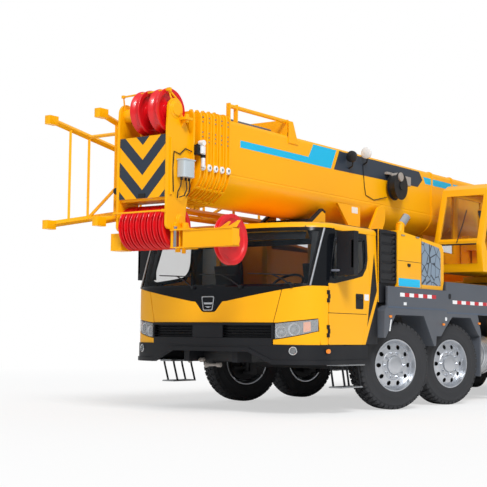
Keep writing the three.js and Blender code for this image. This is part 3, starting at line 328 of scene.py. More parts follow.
def buildRingTree():
    # copies stand round the x axis, each turned to face outward
    tree, source = newTree("ring of copies", [("Count", "NodeSocketInt"), ("Radius", "NodeSocketFloat"),
                                              ("First Angle", "NodeSocketFloat"), ("Material", "NodeSocketMaterial")])
    index = addNode(tree, "GeometryNodeInputIndex")
    share = addNode(tree, "ShaderNodeMath", {"operation": "DIVIDE", 0: 2 * math.pi},
                    {1: source.outputs["Count"]})
    angle = addNode(tree, "ShaderNodeMath", {"operation": "MULTIPLY_ADD"},
                    {0: index.outputs[0], 1: share.outputs[0], 2: source.outputs["First Angle"]})
    outward = addNode(tree, "ShaderNodeCombineXYZ", links={"Z": source.outputs["Radius"]})
    turn = addNode(tree, "ShaderNodeCombineXYZ", links={"X": angle.outputs[0]})
    where = addNode(tree, "ShaderNodeVectorRotate", {"rotation_type": "EULER_XYZ"},
                    {"Vector": outward.outputs[0], "Rotation": turn.outputs[0]})
    dots = addNode(tree, "GeometryNodePoints", links={"Count": source.outputs["Count"], "Position": where.outputs[0]})
    copies = addNode(tree, "GeometryNodeInstanceOnPoints",
                     links={"Points": dots.outputs[0], "Instance": source.outputs["Geometry"],
                            "Rotation": turn.outputs[0]})
    return endTree(tree, source, copies.outputs[0])


def buildRowTree():
    tree, source = newTree("row of copies", [("Count", "NodeSocketInt"), ("Start", "NodeSocketVector"),
                                             ("Step", "NodeSocketVector"), ("Material", "NodeSocketMaterial")])
    line = addNode(tree, "GeometryNodeMeshLine", {"mode": "OFFSET"},
                   {"Count": source.outputs["Count"], "Start Location": source.outputs["Start"],
                    "Offset": source.outputs["Step"]})
    copies = addNode(tree, "GeometryNodeInstanceOnPoints",
                     links={"Points": line.outputs[0], "Instance": source.outputs["Geometry"]})
    return endTree(tree, source, copies.outputs[0])


ringTree, rowTree = buildRingTree(), buildRowTree()


def repeat(part, tree, material, **values):
    # runs the tree on one small part and gives back the copies as plain points and faces
    mesh = bpy.data.meshes.new("copied part")
    mesh.from_pydata([tuple(p) for p in part[0]], [], [tuple(f) for f in part[1]])
    holder = bpy.data.objects.new("copied part", mesh)
    bpy.context.scene.collection.objects.link(holder)
    modifier = holder.modifiers.new("copies", "NODES")
    modifier.node_group = tree
    values["Material"] = material
    for item in tree.interface.items_tree:
        name = item.name.replace(" ", "")
        if item.in_out == "INPUT" and name in values:
            modifier[item.identifier] = values[name]
    evaluated = holder.evaluated_get(bpy.context.evaluated_depsgraph_get())
    result = bpy.data.meshes.new_from_object(evaluated)
    holder.modifiers.clear()
    points = [tuple(v.co) for v in result.vertices]
    faces = [tuple(f.vertices) for f in result.polygons]
    bpy.data.objects.remove(holder)
    bpy.data.meshes.remove(result)
    bpy.data.meshes.remove(mesh)
    return points, faces


def ringOf(part, count, radius, material, firstAngle=0.0):
    return repeat(part, ringTree, material, Count=count, Radius=radius, FirstAngle=firstAngle)


def rowOf(part, count, start, step, material):
    return repeat(part, rowTree, material, Count=count, Start=start, Step=step)


# ---- materials ----

def colour(code):
    # an sRGB hex colour as linear light
    values = [int(code[i:i + 2], 16) / 255 for i in (0, 2, 4)]
    return [v / 12.92 if v <= 0.04045 else ((v + 0.055) / 1.055) ** 2.4 for v in values] + [1.0]


def startMaterial(name, base, roughness, metallic=0.0, **sockets):
    material = bpy.data.materials.new(name)
    material.use_nodes = True
    tree = material.node_tree
    tree.nodes.clear()
    settings = {"Base Color": colour(base), "Roughness": roughness, "Metallic": metallic}
    settings.update({key.replace("_", " "): value for key, value in sockets.items()})
    shader = addNode(tree, "ShaderNodeBsdfPrincipled", settings)
    addNode(tree, "ShaderNodeOutputMaterial", links={"Surface": shader.outputs[0]})
    where = addNode(tree, "ShaderNodeTexCoord")
    return material, tree, shader, where.outputs["Object"]


def addBump(tree, shader, height, strength, depth):
    bump = addNode(tree, "ShaderNodeBump", {"Strength": strength, "Distance": depth}, {"Height": height})
    tree.links.new(bump.outputs[0], shader.inputs["Normal"])


def addVariation(tree, shader, where, base, second, patchSize, roughLow, roughHigh):
    # slow drift of tone and gloss; patchSize in metres
    cloud = addNode(tree, "ShaderNodeTexNoise", {"Scale": 1 / patchSize, "Detail": 4.0}, {"Vector": where})
    tone = addNode(tree, "ShaderNodeMix", {"data_type": "RGBA", 6: colour(base), 7: colour(second)},
                   {0: cloud.outputs["Fac"]})
    tree.links.new(tone.outputs[2], shader.inputs["Base Color"])
    gloss = addNode(tree, "ShaderNodeMapRange", {"From Min": 0.3, "From Max": 0.7, "To Min": roughLow,
                                                 "To Max": roughHigh}, {"Value": cloud.outputs["Fac"]})
    tree.links.new(gloss.outputs[0], shader.inputs["Roughness"])


def addGrain(tree, shader, where, grainSize, depth, strength):
    # fine relief; grain size and depth in metres
    grain = addNode(tree, "ShaderNodeTexNoise", {"Scale": 1 / grainSize, "Detail": 2.0}, {"Vector": where})
    addBump(tree, shader, grain.outputs["Fac"], strength, depth)


def addWave(tree, shader, where, direction, scale, strength, depth, distortion=0.0):
    # straight flutes, threads or strands; depth in metres
    wave = addNode(tree, "ShaderNodeTexWave", {"bands_direction": direction, "Scale": scale,
                                               "Distortion": distortion}, {"Vector": where})
    addBump(tree, shader, wave.outputs["Fac"], strength, depth)


def coated(name, base, roughness, tones, patchSize, gloss, grain=None, wave=None, metallic=0.0, **sockets):
    # grain is (size, depth, strength), wave is (direction, scale, strength, depth, distortion)
    material, tree, shader, where = startMaterial(name, base, roughness, metallic, **sockets)
    addVariation(tree, shader, where, *tones, patchSize, *gloss)
    if grain:
        addGrain(tree, shader, where, *grain)
    if wave:
        addWave(tree, shader, where, *wave)
    return material


def tintedGlass():
    # green-grey tinted safety glass, 6 mm, which shows a darkened view of what is inside
    material, tree, shader, where = startMaterial("tinted_safety_glass", "1A2830", 0.04,
                                                  Alpha=0.13, Specular_IOR_Level=0.6, IOR=1.52)
    waves = addNode(tree, "ShaderNodeTexNoise", {"Scale": 2.5, "Detail": 1.0}, {"Vector": where})
    addBump(tree, shader, waves.outputs["Fac"], 0.06, 0.004)
    return material


def clearLens():
    # polycarbonate lamp cover, hard coated
    material, tree, shader, where = startMaterial("clear_polycarbonate", "E8EEF2", 0.05, Alpha=0.22, IOR=1.58)
    addWave(tree, shader, where, "X", 9.0, 0.1, 0.002)
    return material


def reflectiveTape(name, base, second):
    # micro-prism film: cells of 3 mm, drawn at 8 mm
    material, tree, shader, where = startMaterial(name, base, 0.3)
    prisms = addNode(tree, "ShaderNodeTexVoronoi", {"Scale": 125.0}, {"Vector": where})
    tone = addNode(tree, "ShaderNodeMix", {"data_type": "RGBA", 6: colour(base), 7: colour(second)},
                   {0: prisms.outputs["Distance"]})
    tree.links.new(tone.outputs[2], shader.inputs["Base Color"])
    addBump(tree, shader, prisms.outputs["Distance"], 0.3, 0.0005)
    return material


def cellFilm():
    # printed film on the engine cover: grey cells about 120 mm across between dark joints
    material, tree, shader, where = startMaterial("cell_pattern_film", "8A9BAC", 0.4)
    pattern = addNode(tree, "ShaderNodeTexVoronoi", {"feature": "DISTANCE_TO_EDGE", "Scale": 6.5,
                                                     "Randomness": 0.8}, {"Vector": where})
    line = addNode(tree, "ShaderNodeMapRange", {"From Min": 0.025, "From Max": 0.05},
                   {"Value": pattern.outputs["Distance"]})
    tone = addNode(tree, "ShaderNodeMix", {"data_type": "RGBA", 6: colour("2C3642"), 7: colour("8496A8")},
                   {0: line.outputs[0]})
    tree.links.new(tone.outputs[2], shader.inputs["Base Color"])
    addBump(tree, shader, line.outputs[0], 0.4, 0.001)
    return material


# two-pack polyurethane enamel sprayed on steel: glossy, with sheet waviness and orange peel of 2 mm, drawn coarser
yellow = coated("yellow_polyurethane_enamel", "FFB400", 0.38, ("FFB100", "FFB900"), 0.7, (0.34, 0.44),
                (0.012, 0.0004, 0.35), Specular_IOR_Level=0.3, Coat_Weight=0.12, Coat_Roughness=0.15)
# cast vinyl films: even, satin, with a barely raised surface
cyan = coated("cyan_vinyl_film", "00BDEE", 0.32, ("00BCEE", "08C2F2"), 0.5, (0.28, 0.38), (0.01, 0.0002, 0.3))
slateVinyl = coated("dark_slate_vinyl_film", "2B3542", 0.34, ("2A3441", "303A48"), 0.5, (0.3, 0.4),
                    (0.01, 0.0002, 0.3))
# textured epoxy enamel on decks and fenders: half matt, with a pebble of 1 mm, drawn at 6 mm
slate = coated("slate_textured_enamel", "50555D", 0.5, ("4C5159", "575C65"), 0.45, (0.42, 0.56),
               (0.006, 0.0006, 0.4))
blueSlate = coated("blue_slate_enamel", "47566A", 0.42, ("435165", "4E5E72"), 0.4, (0.36, 0.48),
                   (0.006, 0.0005, 0.35))
# chassis black: brushed-on enamel with road dust in the hollows
chassisBlack = coated("chassis_black_enamel", "17181A", 0.5, ("141517", "232427"), 0.3, (0.42, 0.62),
                      (0.01, 0.0008, 0.4))
# glass-filled polypropylene with a moulded leather grain
plastic = coated("black_moulded_polypropylene", "15161A", 0.52, ("131418", "1B1D22"), 0.25, (0.46, 0.6),
                 (0.005, 0.0004, 0.4), Specular_IOR_Level=0.3)
# piano-black acrylic trim round the screen and the emblem
pianoBlack = coated("gloss_black_acrylic", "0B0D12", 0.14, ("0C0E12", "12151A"), 0.6, (0.08, 0.16),
                    (0.05, 0.0003, 0.15), Specular_IOR_Level=0.3)
# glossy baked enamel on the sheaves
red = coated("red_baked_enamel", "DC0816", 0.3, ("D60614", "E6121C"), 0.2, (0.26, 0.38), (0.012, 0.0004, 0.3),
             Coat_Weight=0.3)
# carbon-black natural rubber: matt, a little grey with bloom and dust
tyre = coated("tyre_rubber", "2A2B2E", 0.82, ("26272A", "37383B"), 0.12, (0.74, 0.9), (0.008, 0.001, 0.5))
# extruded EPDM seals, wiper blades and cable sheaths
rubber = coated("black_epdm_rubber", "131416", 0.68, ("111214", "1B1C1F"), 0.1, (0.6, 0.76), (0.01, 0.0005, 0.4))
# forged and polished alloy: bright, with faint turning marks
alloy = coated("polished_aluminium", "C9CDD2", 0.32, ("C4C8CE", "D2D5DA"), 0.25, (0.28, 0.38),
               (0.02, 0.0001, 0.2), metallic=0.9)
# hard chromium plate on ground steel: mirror bright
chrome = coated("chromed_steel", "D8DADC", 0.1, ("D4D6D9", "DEE0E2"), 0.2, (0.06, 0.14), metallic=1.0)
# zinc-plated brackets, clamps and pins: dull metal with a fine spangle
zinc = coated("zinc_plated_steel", "A9ACAF", 0.38, ("9FA2A6", "B6B9BB"), 0.05, (0.3, 0.46),
              (0.008, 0.0003, 0.4), metallic=0.85)
# galvanised strand laid in a helix; the lay is 60 mm, drawn with strands of 12 mm
rope = coated("galvanised_wire_rope", "83868A", 0.45, ("7A7D81", "92959A"), 0.06, (0.4, 0.55),
              wave=("DIAGONAL", 14.0, 0.7, 0.002, 0.4), metallic=0.7)
glass, lens, cells = tintedGlass(), clearLens(), cellFilm()
# moulded acrylic lens with prism flutes, 8 mm apart
amber = coated("amber_acrylic_lens", "F07A10", 0.16, ("F07A10", "FF9A20"), 0.03, (0.12, 0.22),
               wave=("Z", 20.0, 0.3, 0.002), Coat_Weight=0.4)
whiteTape = reflectiveTape("white_prism_tape", "E6E9EC", "FFFFFF")
redTape = reflectiveTape("red_prism_tape", "B80F1E", "D4202E")
# flat-woven polyester: threads 1 mm apart, drawn at 8 mm
cloth = coated("woven_seat_cloth", "2C3138", 0.9, ("292E35", "343A42"), 0.08, (0.84, 0.95),
               wave=("DIAGONAL", 20.0, 0.4, 0.001), Sheen_Weight=0.2)
# soft-touch dashboard skin, teal grey
dash = coated("grained_dashboard_skin", "4A5A5C", 0.6, ("465658", "526265"), 0.2, (0.52, 0.68),
              (0.006, 0.0005, 0.5))
# powder coats on sheet steel, and the mirror's painted housing: even and half gloss
white, paleGrey, warmGrey, darkRed, mirrorPlastic = [
    coated(name, base, 0.4, (base, second), 0.2, (0.34, 0.46), (0.008, 0.0003, 0.3)) for name, base, second in (
        ("white_powder_coat", "E9ECEE", "F4F5F6"), ("light_grey_powder_coat", "B9C6CE", "C6D1D7"),
        ("warm_grey_powder_coat", "9A948E", "A8A19A"), ("extinguisher_red_coat", "8E1A14", "A4241C"),
        ("grey_mirror_housing_plastic", "565B68", "606572"))]
print("materials made:", len(bpy.data.materials))


# ---- wheels ----

wheelSizes = {
    "tyreRadius": 0.600,
    "treadDepth": 0.015,
    "tyreWidth": 0.310,
    "lugs": 46,
    "nutCircle": 0.1675,
    "nuts": 10,
    "handHoles": 10,
    "handHoleCircle": 0.252,
    "handHoleHalf": (0.034, 0.030),
    "sides": 72,
}


def tyreParts(w):
    # outer face at x = 0, the rest towards -x
    outer, width = w["tyreRadius"], w["tyreWidth"]
    base = outer - w["treadDepth"]
    half = [(0.346, -0.024), (0.352, -0.010), (0.368, -0.006), (0.372, -0.002), (0.380, -0.003), (0.43, 0.0),
            (0.436, 0.0), (0.440, -0.002), (0.49, -0.001), (0.53, -0.005), (0.534, -0.003), (0.545, -0.007),
            (0.565, -0.020), (base - 0.006, -0.038), (base - 0.001, -0.075), (base, -width / 2)]
    other = [(r, -width - x) for r, x in reversed(half[:-1])]
    back = [(0.346, -width + 0.04), (0.346, -0.04)]
    body = lathe("x", half + other + back, w["sides"], ring=True)
    pitch = 2 * math.pi * outer / w["lugs"]
    top = outer - 0.0005
    shoulder = [(-0.009, 0.552), (-0.020, 0.560), (-0.082, base - 0.004), (-0.084, top), (-0.040, top - 0.003),
                (-0.016, top - 0.014)]
    blocks = []
    for outline, shift in ((shoulder, 0.0), ([(-width - x, r) for x, r in reversed(shoulder)], 0.5)):
        part = prism("y", outline, -pitch * 0.33, pitch * 0.33)
        blocks.append(ringOf(part, w["lugs"], 0.0, tyre, shift * 2 * math.pi / w["lugs"]))
    for x0, x1, shift in ((-0.148, -0.094, 0.3), (-0.216, -0.162, 0.8)):
        part = prism("z", [(x0, -pitch * 0.30), (x1, -pitch * 0.38), (x1, pitch * 0.30), (x0, pitch * 0.38)],
                     base - 0.004, top)
        blocks.append(ringOf(part, w["lugs"], 0.0, tyre, shift * 2 * math.pi / w["lugs"]))
    return [body] + blocks


def discPart(w, face, inner, outer):
    # wheel disc with oval hand holes; face(r) gives how deep it lies at each radius
    holes, circle = w["handHoles"], w["handHoleCircle"]
    halfOut, halfAcross = w["handHoleHalf"]
    side, thick = 8, 0.011
    points, faces = [], []

    def addRing(list3):
        start = len(points)
        points.extend(list3)
        return start

    for k in range(holes):
        middle = 2 * math.pi * k / holes
        span = math.pi / holes
        border = [(inner, middle - span + 2 * span * i / side) for i in range(side)]
        border += [(inner + (outer - inner) * i / side, middle + span) for i in range(side)]
        border += [(outer, middle + span - 2 * span * i / side) for i in range(side)]
        border += [(outer - (outer - inner) * i / side, middle - span) for i in range(side)]
        rings = []
        for share in (0.0, 0.5, 1.0):
            ring = []
            for r, a in border:
                u, v = r - circle, (a - middle) * circle
                length = math.hypot(u / halfOut, v / halfAcross)
                eu, ev = u / length, v / length
                ring.append((circle + u + (eu - u) * share, middle + (v + (ev - v) * share) / circle))
            rings.append(ring)
        count = 4 * side
        starts = [addRing([(face(r), r * math.cos(a), r * math.sin(a)) for r, a in ring]) for ring in rings]
        backs = [addRing([(face(r) - thick, r * math.cos(a), r * math.sin(a)) for r, a in ring]) for ring in rings]
        for i in range(count):
            j = (i + 1) % count
            for a, b in zip(starts, starts[1:]):
                faces.append((a + i, b + i, b + j, a + j))
            for a, b in zip(backs, backs[1:]):
                faces.append((a + j, b + j, b + i, a + i))
            faces.append((starts[2] + i, backs[2] + i, backs[2] + j, starts[2] + j))
        for start, stop in ((0, side), (2 * side, 3 * side)):
            for i in range(start, stop):
                j = (i + 1) % count
                faces.append((starts[0] + j, backs[0] + j, backs[0] + i, starts[0] + i))
    return points, faces


def interpolate(table, r):
    for (r0, x0), (r1, x1) in zip(table, table[1:]):
        if r0 >= r >= r1:
            t = (r0 - r) / (r0 - r1)
            t = t * t * (3 - 2 * t)
            return x0 + (x1 - x0) * t
    return table[-1][1]


def rimParts(w, twin):
    # front wheels carry the disc bulging outward, twin wheels deep inside
    if twin:
        table = [(0.318, -0.075), (0.300, -0.118), (0.262, -0.140), (0.205, -0.146), (0.135, -0.146)]
    else:
        table = [(0.318, -0.078), (0.300, -0.070), (0.262, -0.058), (0.205, -0.046), (0.135, -0.046)]
    width = w["tyreWidth"]
    barrel = [(0.354, -0.014), (0.353, -0.006), (0.345, -0.003), (0.337, -0.006), (0.334, -0.016), (0.330, -0.032),
              (0.322, -0.046), (0.318, table[0][1] + 0.002), (0.309, table[0][1] - 0.004),
              (0.309, table[0][1] - 0.016), (0.300, -0.20), (0.318, -0.26), (0.336, -width + 0.006),
              (0.352, -width + 0.006), (0.352, -width + 0.03), (0.346, -width + 0.05), (0.344, -0.05)]
    face = lambda r: interpolate(table, r)
    parts = [lathe("x", barrel, w["sides"], ring=True), discPart(w, face, 0.200, 0.312)]
    nutFace = table[-1][1]
    lifted = nutFace + 0.010
    parts.append(lathe("x", [(0.201, nutFace - 0.008), (0.201, nutFace), (0.192, lifted), (0.136, lifted),
                             (0.136, lifted - 0.02), (0.150, nutFace - 0.02)], w["sides"], ring=True))
    washer = drum("z", 0.021, 0, 0.004, sides=16)
    nut = drum("z", 0.0165, 0.003, 0.026, sides=6)
    stud = lathe("z", [(0, 0.02), (0.0095, 0.02), (0.0095, 0.036), (0.007, 0.040), (0, 0.040)], 12)
    toFace = Matrix.Translation((lifted, 0, 0)) @ Matrix.Rotation(math.radians(90), 4, "Y")
    for part in (washer, nut, stud):
        onRing = turned(part, toFace)
        onRing = moved(onRing, 0, 0, w["nutCircle"])
        parts.append(ringOf(onRing, w["nuts"], 0.0, alloy, math.pi / w["nuts"]))
    hubEnd = -0.005 if not twin else -0.035
    hub = [(0, hubEnd), (0.06, hubEnd - 0.001), (0.105, hubEnd - 0.005), (0.120, hubEnd - 0.012),
           (0.124, hubEnd - 0.020), (0.128, lifted - 0.004), (0.136, lifted - 0.006), (0.136, lifted - 0.03),
           (0, lifted - 0.03)]
    parts.append(lathe("x", hub, 48))
    capBolt = turned(drum("z", 0.006, 0, 0.005, sides=6),
                     Matrix.Translation((hubEnd - 0.004, 0, 0.098)) @ Matrix.Rotation(math.radians(90), 4, "Y"))
    parts.append(ringOf(capBolt, 6, 0.0, alloy))
    return parts


def drumParts(twin):
    # brake drum and hub seen through the hand holes
    depth = -0.165 if twin else -0.10
    return [drum("x", 0.235, depth - 0.12, depth, sides=40), lathe("x", [(0, depth), (0.28, depth - 0.02),
            (0.28, depth - 0.15), (0, depth - 0.15)], 40)]


def placeWheel(parts, matrix):
    return [turned(part, matrix) for part in parts]


steerAtRest = {1: math.radians(-22.3), 2: math.radians(-16.9)}
kingpin, faceOffset, twinFace, twinPitch = 1.120, 0.350, 1.470, 0.360
axleStations = {1: 0.130, 2: 1.752, 3: 4.850, 4: 6.200, 5: 7.550}
tyreSet = tyreParts(wheelSizes)
frontRim, twinRim = rimParts(wheelSizes, False), rimParts(wheelSizes, True)
frontDrum, twinDrum = drumParts(False), drumParts(True)
flipX = Matrix.Scale(-1, 4, (1, 0, 0))
for axle, station in axleStations.items():
    for sideName, side in (("left", 1), ("right", -1)):
        hubHeight = wheelSizes["tyreRadius"]
        mirror = Matrix.Identity(4) if side > 0 else flipX
        if axle in steerAtRest:
            body = f"wheel_{sideName}_{axle}"
            base = Matrix.Translation((side * kingpin, station, hubHeight)) @ Matrix.Rotation(steerAtRest[axle], 4, "Z")
            spots = [base @ mirror @ Matrix.Translation((faceOffset, 0, 0))]
            rims, drums = frontRim, frontDrum
        else:
            body = f"wheels_{sideName}_{axle}"
            base = Matrix.Translation((0, station, hubHeight)) @ mirror
            spots = [base @ Matrix.Translation((twinFace, 0, 0)),
                     base @ Matrix.Translation((twinFace - twinPitch - wheelSizes["tyreWidth"], 0, 0)) @ flipX]
            rims, drums = twinRim, twinDrum
        tyres = [p for spot in spots for p in placeWheel(tyreSet, spot)]
        makePiece(f"tyre_{sideName}_{axle}", tyres, tyre, body, [body], bevel=0, angle=40)
        makePiece(f"rim_{sideName}_{axle}", [p for spot in spots for p in placeWheel(rims, spot)],
                  alloy, body, bevel=0, angle=32, welded=True)
        makePiece(f"drum_{sideName}_{axle}", [p for spot in spots for p in placeWheel(drums, spot)],
                  chassisBlack, body, bevel=0.004)
print("wheels made")


# ---- boom ----

boomSizes = {
    "half": 0.450,
    "top": 3.680,
    "seam": 2.980,
    "bottom": 2.620,
    "cornerRadius": 0.060,
    "front": -2.525,
    "rear": 9.000,
    "wall": 0.014,
    "sectionStep": 0.022,
    "collar": 0.107,
    "collarPitch": 0.115,
    "collarRise": 0.042,
    "riseStep": 0.009,
    "groove": 0.004,
}


def boomRing(b, grow, y, groove=True):
    half, top, seam = b["half"] + grow, b["top"] + grow, b["seam"]
    sag, corner, cut = seam - b["bottom"] + grow, b["cornerRadius"], b["groove"] if groove else 0.0
    right = arc(half - corner, top - corner, corner, 90, 0, 5)
    right += [(half, seam + 0.012), (half - cut, seam + 0.006), (half - cut, seam - 0.006)]
    belly = [(half * math.cos(t), seam - 0.014 + (sag - 0.014) * math.sin(t))
             for t in [-math.pi * i / 30 for i in range(31)]]
    left = [(-x, z) for x, z in reversed(right)]
    return [(x, y, z) for x, z in right + belly + left]


def boomShell(b, grow, front, rear, wall, groove=True):
    # a hollow length of boom with both ends open
    outer = [boomRing(b, grow, front, groove), boomRing(b, grow, rear, groove)]
    inner = [boomRing(b, grow - wall, rear, False), boomRing(b, grow - wall, front, False)]
    return loft(outer + inner, closed=True)


def collarSpot(b, index):
    # middle of a collar along the boom, and how wide it stands
    front = b["front"] - index * b["collarPitch"]
    return front - b["collar"] / 2, b["half"] + b["collarRise"] - index * b["riseStep"]


def collarParts(b, index):
    # thick ribs round the mouth of a section, with its lifting lugs
    front = b["front"] - index * b["collarPitch"]
    rise = b["collarRise"] - index * b["riseStep"]
    inner = -index * b["sectionStep"]
    parts = [boomShell(b, rise, front - b["collar"], front - b["collar"] + 0.026, rise - inner),
             boomShell(b, max(rise - 0.030, inner + 0.002), front - b["collar"] + 0.022, front - 0.022,
                       max(rise - 0.030, inner + 0.002) - inner + 0.004),
             boomShell(b, rise - 0.006, front - 0.024, front, rise - 0.006 - inner)]
    half, top = b["half"] + rise, b["top"] + rise
    middle = front - b["collar"] / 2
    for x in (-0.26, 0.26):
        ear = arc(middle, top + 0.018, 0.036, 0, 180, 10) + [(middle - 0.036, top - 0.01), (middle + 0.036, top - 0.01)]
        parts.append(prism("x", ear, x - 0.012, x + 0.012))
    for k in range(4):
        angle = math.radians(-35 - 28 * k)
        x, z = (half - 0.005) * math.cos(angle), b["seam"] + (b["seam"] - b["bottom"] + rise - 0.005) * math.sin(angle)
        parts += bothSides([beam((x * 0.97, middle - 0.04, z), (x * 0.97, middle + 0.04, z), 0.03, 0.05,
                                 Vector((x, 0, z - b["seam"])))])
    return parts


def collarBolts(b, index):
    middle, half = collarSpot(b, index)
    head = turned(lathe("z", [(0, 0), (0.011, 0), (0.011, 0.008), (0.008, 0.010), (0, 0.010)], 6),
                  Matrix.Rotation(math.radians(90), 4, "Y"))
    parts = []
    for dy in (-0.026, 0.022):
        for low, count in ((3.32, 3), (3.56, 2)):
            parts.append(rowOf(moved(head, half - 0.032, middle + dy, low + dy * 0.6), count, (0, 0, 0),
                               (0, 0, 0.055), zinc))
    return bothSides(parts)


def collarRollers(b, index):
    middle, half = collarSpot(b, index)
    profile = [(0.016, half - 0.04), (0.043, half - 0.04), (0.045, half - 0.01), (0.040, half + 0.012),
               (0.020, half + 0.016), (0.016, half + 0.010)]
    return bothSides([lathe("x", profile, 24, (0, middle, b["seam"] + 0.03), ring=True)])


def collarPins(b, index):
    middle, half = collarSpot(b, index)
    return bothSides([drum("x", 0.017, half - 0.05, half + 0.014, (0, middle, b["seam"] + 0.03), 16)])


sections = ["boom_base_section"] + [f"boom_section_{i}" for i in range(2, 6)]
for index, node in enumerate(sections):
    body = "boom" if index == 0 else node
    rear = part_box(node)[1].y - stationShift
    front = boomSizes["front"] - index * boomSizes["collarPitch"]
    grow = -index * boomSizes["sectionStep"]
    parts = [boomShell(boomSizes, grow, front - 0.01, rear - 0.002, boomSizes["wall"])]
    parts += collarParts(boomSizes, index)
    if index == 0:
        eye = [(3.10, 2.76), (3.22, 2.23), (3.26, 2.22)] + arc(3.33, 2.35, 0.14, 230, 310, 6)
        eye += [(3.44, 2.23), (3.63, 2.76)]
        lugs = [prism("x", eye, 0.185, 0.235), prism("x", eye, -0.235, -0.185)]
        foot = [(8.30, 2.80), (8.995, 2.90), (8.995, 3.20), (8.30, 3.30)]
        parts += lugs + bothSides([prism("x", foot, 0.440, 0.462)])
        parts += [box(-0.93, -0.44, y, y + 0.06, 3.02, 3.08) for y in (-1.95, 2.10)]
        parts += [boomShell(boomSizes, 0.012, y, y + 0.05, 0.02) for y in (3.0, 3.75, 7.9)]
    makePiece(f"{node}_shell", parts, yellow, body, [node], bevel=0.003, angle=30)
    makePiece(f"{node}_bolts", collarBolts(boomSizes, index), zinc, body, bevel=0, angle=30)
    makePiece(f"{node}_rollers", collarRollers(boomSizes, index), white, body, bevel=0.002)
    makePiece(f"{node}_roller_pins", collarPins(boomSizes, index), zinc, body, bevel=0.002)
print("boom sections made")

# films along the boom's flat side
filmSizes = {"proud": 0.0012, "sunk": 0.001, "side": boomSizes["half"]}


def film(outline):
    side = filmSizes["side"]
    return bothSides([prism("x", outline, side - filmSizes["sunk"], side + filmSizes["proud"])])


frontStripe = film([(-2.273, 3.356), (-0.097, 3.356), (0.045, 3.639), (-0.563, 3.639), (-0.685, 3.447),
                    (-2.273, 3.447)])
rearStripe = film([(2.805, 3.467), (8.892, 3.467), (8.892, 3.573), (2.724, 3.573)])
makePiece("boom_stripes", frontStripe + rearStripe, cyan, "boom", bevel=0)
panelFilm = film([(-0.016, 3.356), (2.541, 3.386), (2.703, 3.518), (2.582, 3.639), (0.126, 3.639)])
makePiece("boom_panel_film", panelFilm, slateVinyl, "boom", bevel=0)

guard = [tube([(0.40, -2.46, 3.865), (0.40, -1.15, 3.865)], 0.028, 12),
         tube([(-0.40, -2.46, 3.865), (-0.40, -1.15, 3.865)], 0.028, 12),
         box(-0.43, 0.43, -1.185, -1.150, 3.62, 3.89), box(0.37, 0.43, -1.18, -0.97, 3.66, 3.72),
         box(-0.43, -0.37, -1.18, -0.97, 3.66, 3.72)]
guard += bothSides([prism("x", [(-1.19, 3.57), (-0.95, 3.57), (-1.09, 3.87), (-1.19, 3.87)], 0.449, 0.462)])
for y in (-2.475, -2.32):
    guard += [box(-0.43, -0.37, y, y + 0.02, 3.67, 3.90), box(0.37, 0.43, y, y + 0.02, 3.67, 3.90)]
for y in (0.4, 1.9, 3.4, 4.9, 6.4, 7.9):
    guard.append(box(-0.05, 0.05, y, y + 0.05, 3.675, 3.72))
    guard += [box(0.03, 0.045, y, y + 0.05, 3.70, 3.79), box(-0.045, -0.03, y, y + 0.05, 3.70, 3.79)]
makePiece("boom_top_fittings", guard, yellow, "boom", bevel=0.003)
ropeLine = [(0.0, y, 3.755) for y in (-2.3, 0.0, 2.0, 4.0, 6.0, 8.4)]
makePiece("boom_top_rope", [tube(ropeLine, 0.011, 10), tube([(0.22, -2.3, 3.73), (0.22, -1.3, 3.73)], 0.03, 12)],
          rope, "boom", bevel=0)


def cableReelParts():
    x0, x1 = 0.490, 0.615
    centre = (0, 1.68, 3.295)
    wheelPart = lathe("x", [(0.05, x0), (0.215, x0), (0.215, x0 + 0.006), (0.13, x0 + 0.012), (0.13, x1 - 0.012),
                            (0.215, x1 - 0.006), (0.215, x1), (0.05, x1)], 48, centre, ring=True)
    return [wheelPart, drum("x", 0.06, 0.46, x1 + 0.02, centre, 24)]


makePiece("cable_reel", cableReelParts(), rubber, "boom", bevel=0.002)
makePiece("cable_reel_winding", [drum("x", 0.185, 0.502, 0.603, (0, 1.68, 3.295), 40)], chassisBlack, "boom",
          bevel=0.004)
motor = [roundedBox(0.46, 0.60, 1.71, 2.05, 3.33, 3.47, 0.03), drum("x", 0.07, 0.47, 0.64, (0, 1.65, 3.43), 24),
         box(0.45, 0.50, 1.45, 1.91, 3.46, 3.50), box(0.45, 0.49, 1.55, 1.79, 3.23, 3.39)]
makePiece("cable_reel_motor", motor, warmGrey, "boom", bevel=0.005)


def floodlight(y, z):
    body = lathe("y", [(0, 0.035), (0.05, 0.03), (0.085, 0.0), (0.085, -0.03), (0.078, -0.035), (0, -0.035)],
                 24, (0.535, y, z))
    stalk = tube([(0.45, y + 0.05, z - 0.16), (0.52, y + 0.03, z - 0.13), (0.535, y + 0.02, z - 0.06)], 0.012, 8)
    return body, stalk


lampBody, lampStalk = floodlight(0.77, 3.69)
darkBody, darkStalk = floodlight(0.35, 3.58)
makePiece("boom_floodlight", [lampBody], white, "boom", bevel=0.002)
makePiece("boom_floodlight_rear", [darkBody, lampStalk, darkStalk], chassisBlack, "boom", bevel=0.002)
cableRun = [(0.456, 0.79, 3.53), (0.458, 0.83, 3.23), (0.458, 0.87, 3.08), (0.458, 1.12, 3.03), (0.47, 1.49, 3.11)]
makePiece("boom_lamp_cable", [tube(cableRun, 0.006, 8)], rubber, "boom", bevel=0)
print("boom fittings made")


# ---- boom head ----

